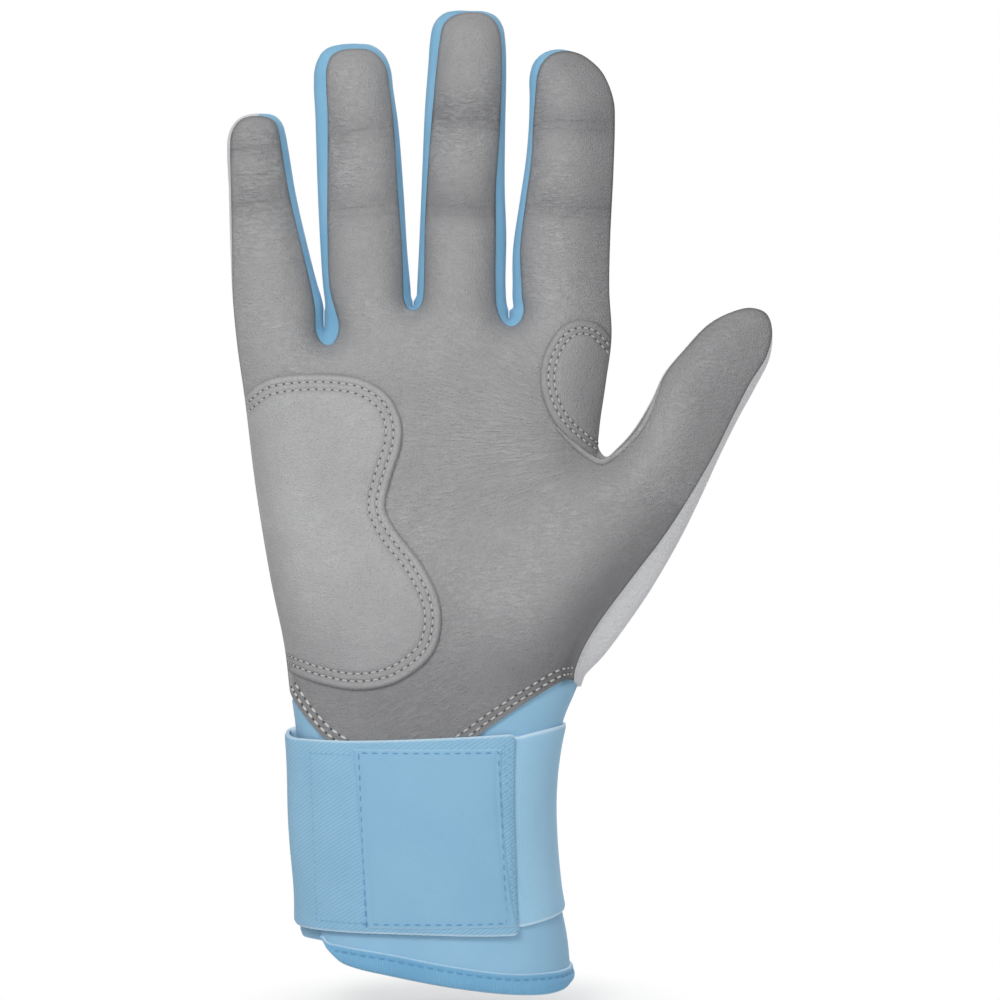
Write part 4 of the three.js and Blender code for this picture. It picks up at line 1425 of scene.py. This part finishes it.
# The band's end is sewn under the tab's fold
bandAngles = np.linspace(angleAt(strap["bandStart"], strap["middle"]), 3 * math.pi + 0.016, 170)
fromTab = np.clip((bandAngles - 2 * math.pi) / 0.87 + 1, 0, 1)  # 0 at the tab's end, 1 at the thumb side
onPalm = 1 - ease(bandAngles, 2 * math.pi, 2.5 * math.pi)
drop, rise = strap["bandLowTurn"]
bandLow = strap["band"][0] + onPalm * ((drop + rise) * np.sin(fromTab * math.pi / 2) - drop)
drop, rise = strap["bandTopTurn"]
bandTop = strap["band"][1] + onPalm * (rise - (drop + rise) * (1 - fromTab) ** 2.8)
bandTop -= 1.4 * ease(bandAngles, 2.7 * math.pi, 3 * math.pi)  # no higher than the tab where it folds
bandPiece = wristPatch(
    "strapBand", bandAngles, bandLow, bandTop, strap["bandOff"], strap["thick"], elasticWeb,
    30, 0.7, 0.35, strapFlare, hugs=True,
)
rideOn(bandPiece, "hand", "strap_webbing", "strap_band")
declareSheet(bandPiece)


def pilePad(name, left, right, low, high, off):
    angles = np.linspace(angleAt(left, strap["padLevel"]), angleAt(right, strap["padLevel"]), 40)
    return wristPatch(name, angles, low, high, off, strap["pileThick"], pileCloth, 16)


loopPiece = pilePad("loopPad", *strap["loop"], strap["loopOff"])
rideOn(loopPiece, "hand", "hook_and_loop", "loop_pad")
declareSheet(loopPiece)
hookPiece = pilePad("hookPad", *strap["hook"], strap["hookOff"])
rideOn(hookPiece, "strap", "hook_and_loop", "hook_pad")
tabAngles = np.linspace(math.pi + 0.004, angleAt(strap["tabEnd"], strap["padLevel"], 3), 120)
corner = np.clip((tabAngles[-1] - tabAngles) * 30 / strap["corner"], 0, 1)
rounding = strap["corner"] * (1 - np.sqrt(1 - (1 - corner) ** 2))
atFold = 1 - ease(tabAngles, math.pi, math.pi + 0.5)
tabLow = strap["tab"][0] + strap["tabFold"][0] * atFold
tabLow = tabLow - strap["tabDrop"] * ease(tabAngles, math.pi + 1.2, tabAngles[-1]) + rounding
tabRise = strap["tabRise"] * np.clip((tabAngles - math.pi - 0.95) / 1.3, 0, 1) ** 1.3
tabHigh = strap["tab"][1] + strap["tabFold"][1] * atFold + tabRise - rounding


# The tab's end is cut straight, so it leaves the waist of the wrist at mid height
def tabSlant(across, z):
    return (0.018 - 0.00007 * (z - 46) ** 2) * ease(across, math.pi + 0.6, tabAngles[-1])


tabPiece = wristPatch(
    "strapTab", tabAngles, tabLow, tabHigh, strap["tabOff"], strap["thick"], twillWeb,
    40, 0.9, 0.4, tabLift, tabSlant,
)
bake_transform(tabPiece)
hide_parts("strap_tab")
declareSheet(tabPiece)
declareSheet(hookPiece)
patchLeft, patchRight, patchLow, patchHigh = strap["patch"]
patchAngles = np.linspace(*[angleAt(x, strap["middle"], 4) for x in (patchLeft, patchRight)], 80)


def patchSlant(across, z):
    return strap["lean"] / strap["radius"] * (strap["middle"] - z)


def patchLift(across, z):
    home = across - patchSlant(across, z)
    aside = np.minimum(home - patchAngles[0], patchAngles[-1] - home) * strap["radius"]
    inset = np.minimum(aside, np.minimum(z - patchLow, patchHigh - z))
    return -0.22 * bell(inset - strap["patchSeam"], 0.45)


tabTop = strap["tabOff"] + strap["thick"]
patchOff = tabTop - 0.08
rubberPiece = wristPatch(
    "strapPatch", patchAngles, patchLow, patchHigh, patchOff, strap["patchThick"], patchRubber,
    44, 0.8, 0.35, patchLift, patchSlant,
)
rideOn(rubberPiece, "strap", "patch_rubber", "strap_patch")
declareSheet(rubberPiece)
print("strap made")

# Stitches: Geometry Nodes lay one thread or needle hole at each step of a sewn row
threads = {
    "fine": {"pitch": 2.1, "length": 1.35, "width": 0.5, "hole": 0.5},
    "heavy": {"pitch": 2.7, "length": 1.75, "width": 0.68, "hole": 0.6},
    "edge": {"pitch": 2.4, "length": 1.5, "width": 0.62, "hole": 0.5},
    "long": {"pitch": 2.7, "length": 1.7, "width": 0.46},
    "small": {"pitch": 1.7, "length": 1.2, "width": 0.36},
    "hem": {"pitch": 2.6, "length": 1.8, "width": 0.44},
}


def stitchTree():
    tree = bpy.data.node_groups.new("stitchRow", "GeometryNodeTree")
    kinds = {"Geometry": "Geometry", **dict.fromkeys(("Pitch", "Length", "Width", "Shift"), "Float")}
    kinds["Finish"] = "Material"
    for name, kind in kinds.items():
        tree.interface.new_socket(name, in_out="INPUT", socket_type=f"NodeSocket{kind}")
    tree.interface.new_socket("Geometry", in_out="OUTPUT", socket_type="NodeSocketGeometry")
    entry, leave = tree.nodes.new("NodeGroupInput"), tree.nodes.new("NodeGroupOutput")
    row, pitch, length, width, shift, finish = (Socket(tree, entry.outputs[name]) for name in kinds)
    curve = row.node("GeometryNodeMeshToCurve", {}, {"Mesh": row})
    steps = row.node("GeometryNodeCurveToPoints", {"mode": "LENGTH"}, {"Curve": curve, "Length": pitch})
    tangent, turn = (Socket(tree, steps.output.node.outputs[name]) for name in ("Tangent", "Rotation"))
    move = row.node("ShaderNodeVectorMath", {"operation": "SCALE"}, {0: tangent, "Scale": shift})
    placed = row.node("GeometryNodeSetPosition", {}, {"Geometry": steps, "Offset": move})
    bead = row.node("GeometryNodeMeshUVSphere", {}, {"Segments": 8, "Rings": 5, "Radius": 0.5})
    size = row.node("ShaderNodeCombineXYZ", {}, {"X": width, "Y": width, "Z": length})
    laidAt = {"Points": placed, "Instance": bead, "Rotation": turn, "Scale": size}
    laid = row.node("GeometryNodeInstanceOnPoints", {}, laidAt)
    real = row.node("GeometryNodeRealizeInstances", {}, {"Geometry": laid})
    smooth = row.node("GeometryNodeSetShadeSmooth", {}, {"Geometry": real})
    dressed = row.node("GeometryNodeSetMaterial", {}, {"Geometry": smooth, "Material": finish})
    tree.links.new(dressed.output, leave.inputs["Geometry"])
    return tree


stitchNodes = stitchTree()
socketOf = {item.name: item.identifier for item in stitchNodes.interface.items_tree if item.in_out == "INPUT"}


def sew(name, lines, material, pitch, length, width, shift=0.0):
    mesh = bpy.data.meshes.new(name)
    verts, edges = [], []
    for line in lines:
        edges += [(len(verts) + i, len(verts) + i + 1) for i in range(len(line) - 1)]
        verts += [tuple(p) for p in np.asarray(line) * mm]
    mesh.from_pydata(verts, edges, [])
    rowPiece = addObject(name, mesh)
    modifier = rowPiece.modifiers.new("stitches", "NODES")
    modifier.node_group = stitchNodes
    for key, size in (("Pitch", pitch), ("Length", length), ("Width", width), ("Shift", shift)):
        modifier[socketOf[key]] = size * mm
    modifier[socketOf["Finish"]] = material
    bpy.context.view_layer.update()
    done = bpy.data.meshes.new_from_object(rowPiece.evaluated_get(bpy.context.evaluated_depsgraph_get()))
    rowPiece.modifiers.clear()
    rowPiece.data = done
    return rowPiece


def sewRows(name, lines, body, slot, thread, hole, spec):
    parts = [("Thread", thread, spec["length"], spec["width"], 0.0)]
    if hole:
        parts.append(("Holes", hole, spec["hole"], spec["hole"], spec["pitch"] / 2))
    for part, material, long, wide, shift in parts:
        row = sew(name + part, lines, material, spec["pitch"], long, wide, shift)
        rideOn(row, body, slot)


for name, lines in stitchRows.items():
    sewRows(f"{name}Stitch", lines, "hand", "overlay_leather", greyThread, needleHole, threads["fine"])
rowsAt = {
    "palmEdge": (1.4, 3.1),
    "palmEdgeFrom": 66,
    "backEdge": (1.7, 3.7),
    "tuck": (-1.5, 1.5),
    "tabBox": [(-16.5, 22.4), (-28.6, 22.4), (-30.6, 66.2), (-18.2, 66.2)],
    "zigzag": (21.9, 1.3, 22.5, 69.5),  # x, its swing, from and to
}
edgeRows = []
for inset in rowsAt["palmEdge"]:
    row = edgePath - leftOf(edgePath) * inset
    row = row[pointsInside(row, frontLoop)]
    edgeRows.append(onSurface(row[row[:, 1] > rowsAt["palmEdgeFrom"]], frontTree, 0.1))
thumbLines = [row[row[:, 0] > 0] for row in edgeRows]
heelLines = [row[row[:, 0] < -5] for row in edgeRows]
sewRows("palmEdgeStitch", heelLines, "hand", "palm_leather", edgeThread, needleHole, threads["heavy"])
sewRows("thumbEdgeStitch", thumbLines, "hand", "palm_leather", greyThread, needleHole, threads["edge"])
backTree = treeOf(backSkin, backSkinTris)
backRows = []
for inset in rowsAt["backEdge"]:
    row = backPath - leftOf(backPath) * inset
    backRows.append(onSurface(row[pointsInside(row, backLoop)], backTree, 0.1, 1))
for line in tuckLines:
    for aside in rowsAt["tuck"]:
        backRows.append(onSurface(line + leftOf(line) * aside, backTree, 0.05, 1))
sewRows("backStitch", backRows, "hand", "back_leather", paleThread, paleHole, threads["fine"])

# Vents in the finger backs, between the knuckle and the first bend
vents = {"pitch": 3.1, "hole": 0.85, "lanes": (-3.2, 0.0, 3.2), "sunk": 0.22, "clear": 7.0}
for digit in fingers:
    spec = digits[digit]
    steps = np.arange(spec["bends"][0] + vents["clear"], spec["bends"][1] - vents["clear"], vents["pitch"])
    for length in range(2):
        mine = steps[(steps > spec["cuts"][length]) & (steps <= spec["cuts"][length + 1])]
        lines = []
        for lane in vents["lanes"]:
            at = np.linspace(mine[0], mine[-1] + 0.3, 8 * len(mine))
            line = spec["origin"] + at[:, None] * spec["along"] + lane * spec["across"]
            lines.append(onSurface(line, backTree, -vents["sunk"], 1))
        name = f"{digit}{segmentNames[length].title()}Vents"
        row = sew(name, lines, ventHole, vents["pitch"], vents["hole"], vents["hole"])
        bendPiece(row, digit, length)


# A sewn line across the wrist, on a layer a given height off it
def wristRow(points, off, lift=None):
    runs = [np.linspace(a, b, 40, endpoint=False) for a, b in zip(points, points[1:])]
    line = np.vstack(runs + [points[-1:]])
    angles = np.array([angleAt(x, z, off) for x, z in line])
    rise = off + (lift(angles, line[:, 1]) if lift else 0)
    return wristPoint(angles, line[:, 1], rise)


def leaning(points):
    return [(x + strap["lean"] * (strap["middle"] - z), z) for x, z in points]


patchTop = patchOff + strap["patchThick"] - 0.2
seamIn = strap["patchSeam"]
left, right, low, high = patchLeft + seamIn, patchRight - seamIn, patchLow + seamIn, patchHigh - seamIn
border = [(left, low), (right, low), (right, high), (left, high), (left, low)]
patchRows = [wristRow(leaning(border), patchTop)]
sewRows("patchStitch", patchRows, "strap", "patch_rubber", blueThread, None, threads["long"])
boxRows = [wristRow(rowsAt["tabBox"], tabTop, tabLift)]
sewRows("tabStitch", boxRows, "strap", "strap_webbing", twillThread, None, threads["small"])
x, swing, low, high = rowsAt["zigzag"]
zigzag = [(x + swing * (i % 2), z) for i, z in enumerate(np.arange(low, high, 1.0))]
zigRows = [wristRow(leaning(zigzag), tabTop)]
sewRows("tabEndStitch", zigRows, "strap", "strap_webbing", twillThread, None, threads["small"])
hemSeam = hemHigh - np.minimum(binding["stitchIn"], 0.45 * (hemHigh - hemLow))
hemStart = binding["stitchStart"]
hemRow = wristPoint(bindAngles[hemStart:], hemSeam[hemStart:], binding["off"] + binding["thick"] + 0.1)
sewRows("hemStitch", [hemRow], "hand", "binding_cloth", blueThread, None, threads["hem"])
print("rows sewn")

# Floor, backdrop light and camera
stageLook = {
    "distance": 0.75,
    "aim": (0.0197, 0, 0.1331),
    "halfFrame": 0.135,
    "floor": -0.004,
    "floorReach": 3,
    "shadowReach": (0.03, 0.07),
    "ambient": 0.3,
}
reach = stageLook["floorReach"]
corners = [(-reach, -reach), (reach, -reach), (reach, reach), (-reach, reach)]
floorMesh = bpy.data.meshes.new("floor")
floorMesh.from_pydata([(x, y, stageLook["floor"]) for x, y in corners], [], [(0, 1, 2, 3)])
floor = addObject("floor", floorMesh)


# What the camera, gloss and glass see of the white background
def seenDirectly(tree):
    rays = tree.nodes.new("ShaderNodeLightPath").outputs
    seen = Socket(tree, rays["Is Camera Ray"]) + Socket(tree, rays["Is Glossy Ray"])
    seen = seen + Socket(tree, rays["Is Transmission Ray"])
    return seen.math("MINIMUM", seen, 1.0)


floorMaterial, shader, place = newMaterial("floorPaper")
shader.inputs["Base Color"].default_value = (0.8, 0.8, 0.8, 1)
shader.inputs["Roughness"].default_value = 0.9
seen = seenDirectly(place.tree)
foot = (0.01, 0.0, stageLook["floor"])
away = place.node("ShaderNodeVectorMath", {"operation": "DISTANCE"}, {0: place, 1: foot}, 1)
plain = away.between(*stageLook["shadowReach"])
paper = place.node("ShaderNodeEmission", {}, {"Color": (1, 1, 1, 1), "Strength": 1.0})
both = place.tree.nodes.new("ShaderNodeMixShader")
place.tree.links.new((seen * (plain * 0.5 + 0.5)).output, both.inputs[0])
place.tree.links.new(shader.outputs[0], both.inputs[1])
place.tree.links.new(paper.output, both.inputs[2])
place.tree.links.new(both.outputs[0], place.tree.nodes["Material Output"].inputs["Surface"])
floorMesh.materials.append(floorMaterial)
floor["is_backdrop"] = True

world = bpy.data.worlds.new("studio")
bpy.context.scene.world = world
world.use_nodes = True
wash = world.node_tree.nodes["Background"]
strength = seenDirectly(world.node_tree) * (1 - stageLook["ambient"]) + stageLook["ambient"]
world.node_tree.links.new(strength.output, wash.inputs["Strength"])
wash.inputs["Color"].default_value = (1, 1, 1, 1)


def areaLight(name, place, aim, size, power):
    light = bpy.data.lights.new(name, "AREA")
    light.shape = "DISK"
    light.size = size
    light.energy = power
    lamp = addObject(name, light)
    lamp.location = place
    lamp.rotation_euler = (Vector(aim) - Vector(place)).to_track_quat("-Z", "Y").to_euler()


areaLight("keyLight", (-0.4, -1.0, 0.9), (0.02, 0, 0.14), 0.55, 9.4)
areaLight("fillLight", (0.3, -1.15, 0.1), (0.02, 0, 0.12), 0.9, 4.6)
areaLight("backLight", (0.4, 1.05, 0.85), (0.02, 0, 0.14), 0.9, 10)

camera = bpy.data.cameras.new("camera")
camera.sensor_width = 36
camera.lens = 18 * stageLook["distance"] / stageLook["halfFrame"]
viewer = addObject("camera", camera)
viewer.location = Vector(stageLook["aim"]) - Vector((0, stageLook["distance"], 0))
viewer.rotation_euler = (math.pi / 2, 0, 0)
bpy.context.scene.camera = viewer
bpy.context.scene.view_settings.view_transform = "Standard"

bpy.context.view_layer.update()
low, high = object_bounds()
{"cad": [list(cadLow), list(cadHigh)], "visual": [list(low), list(high)]}
print("scene ready")
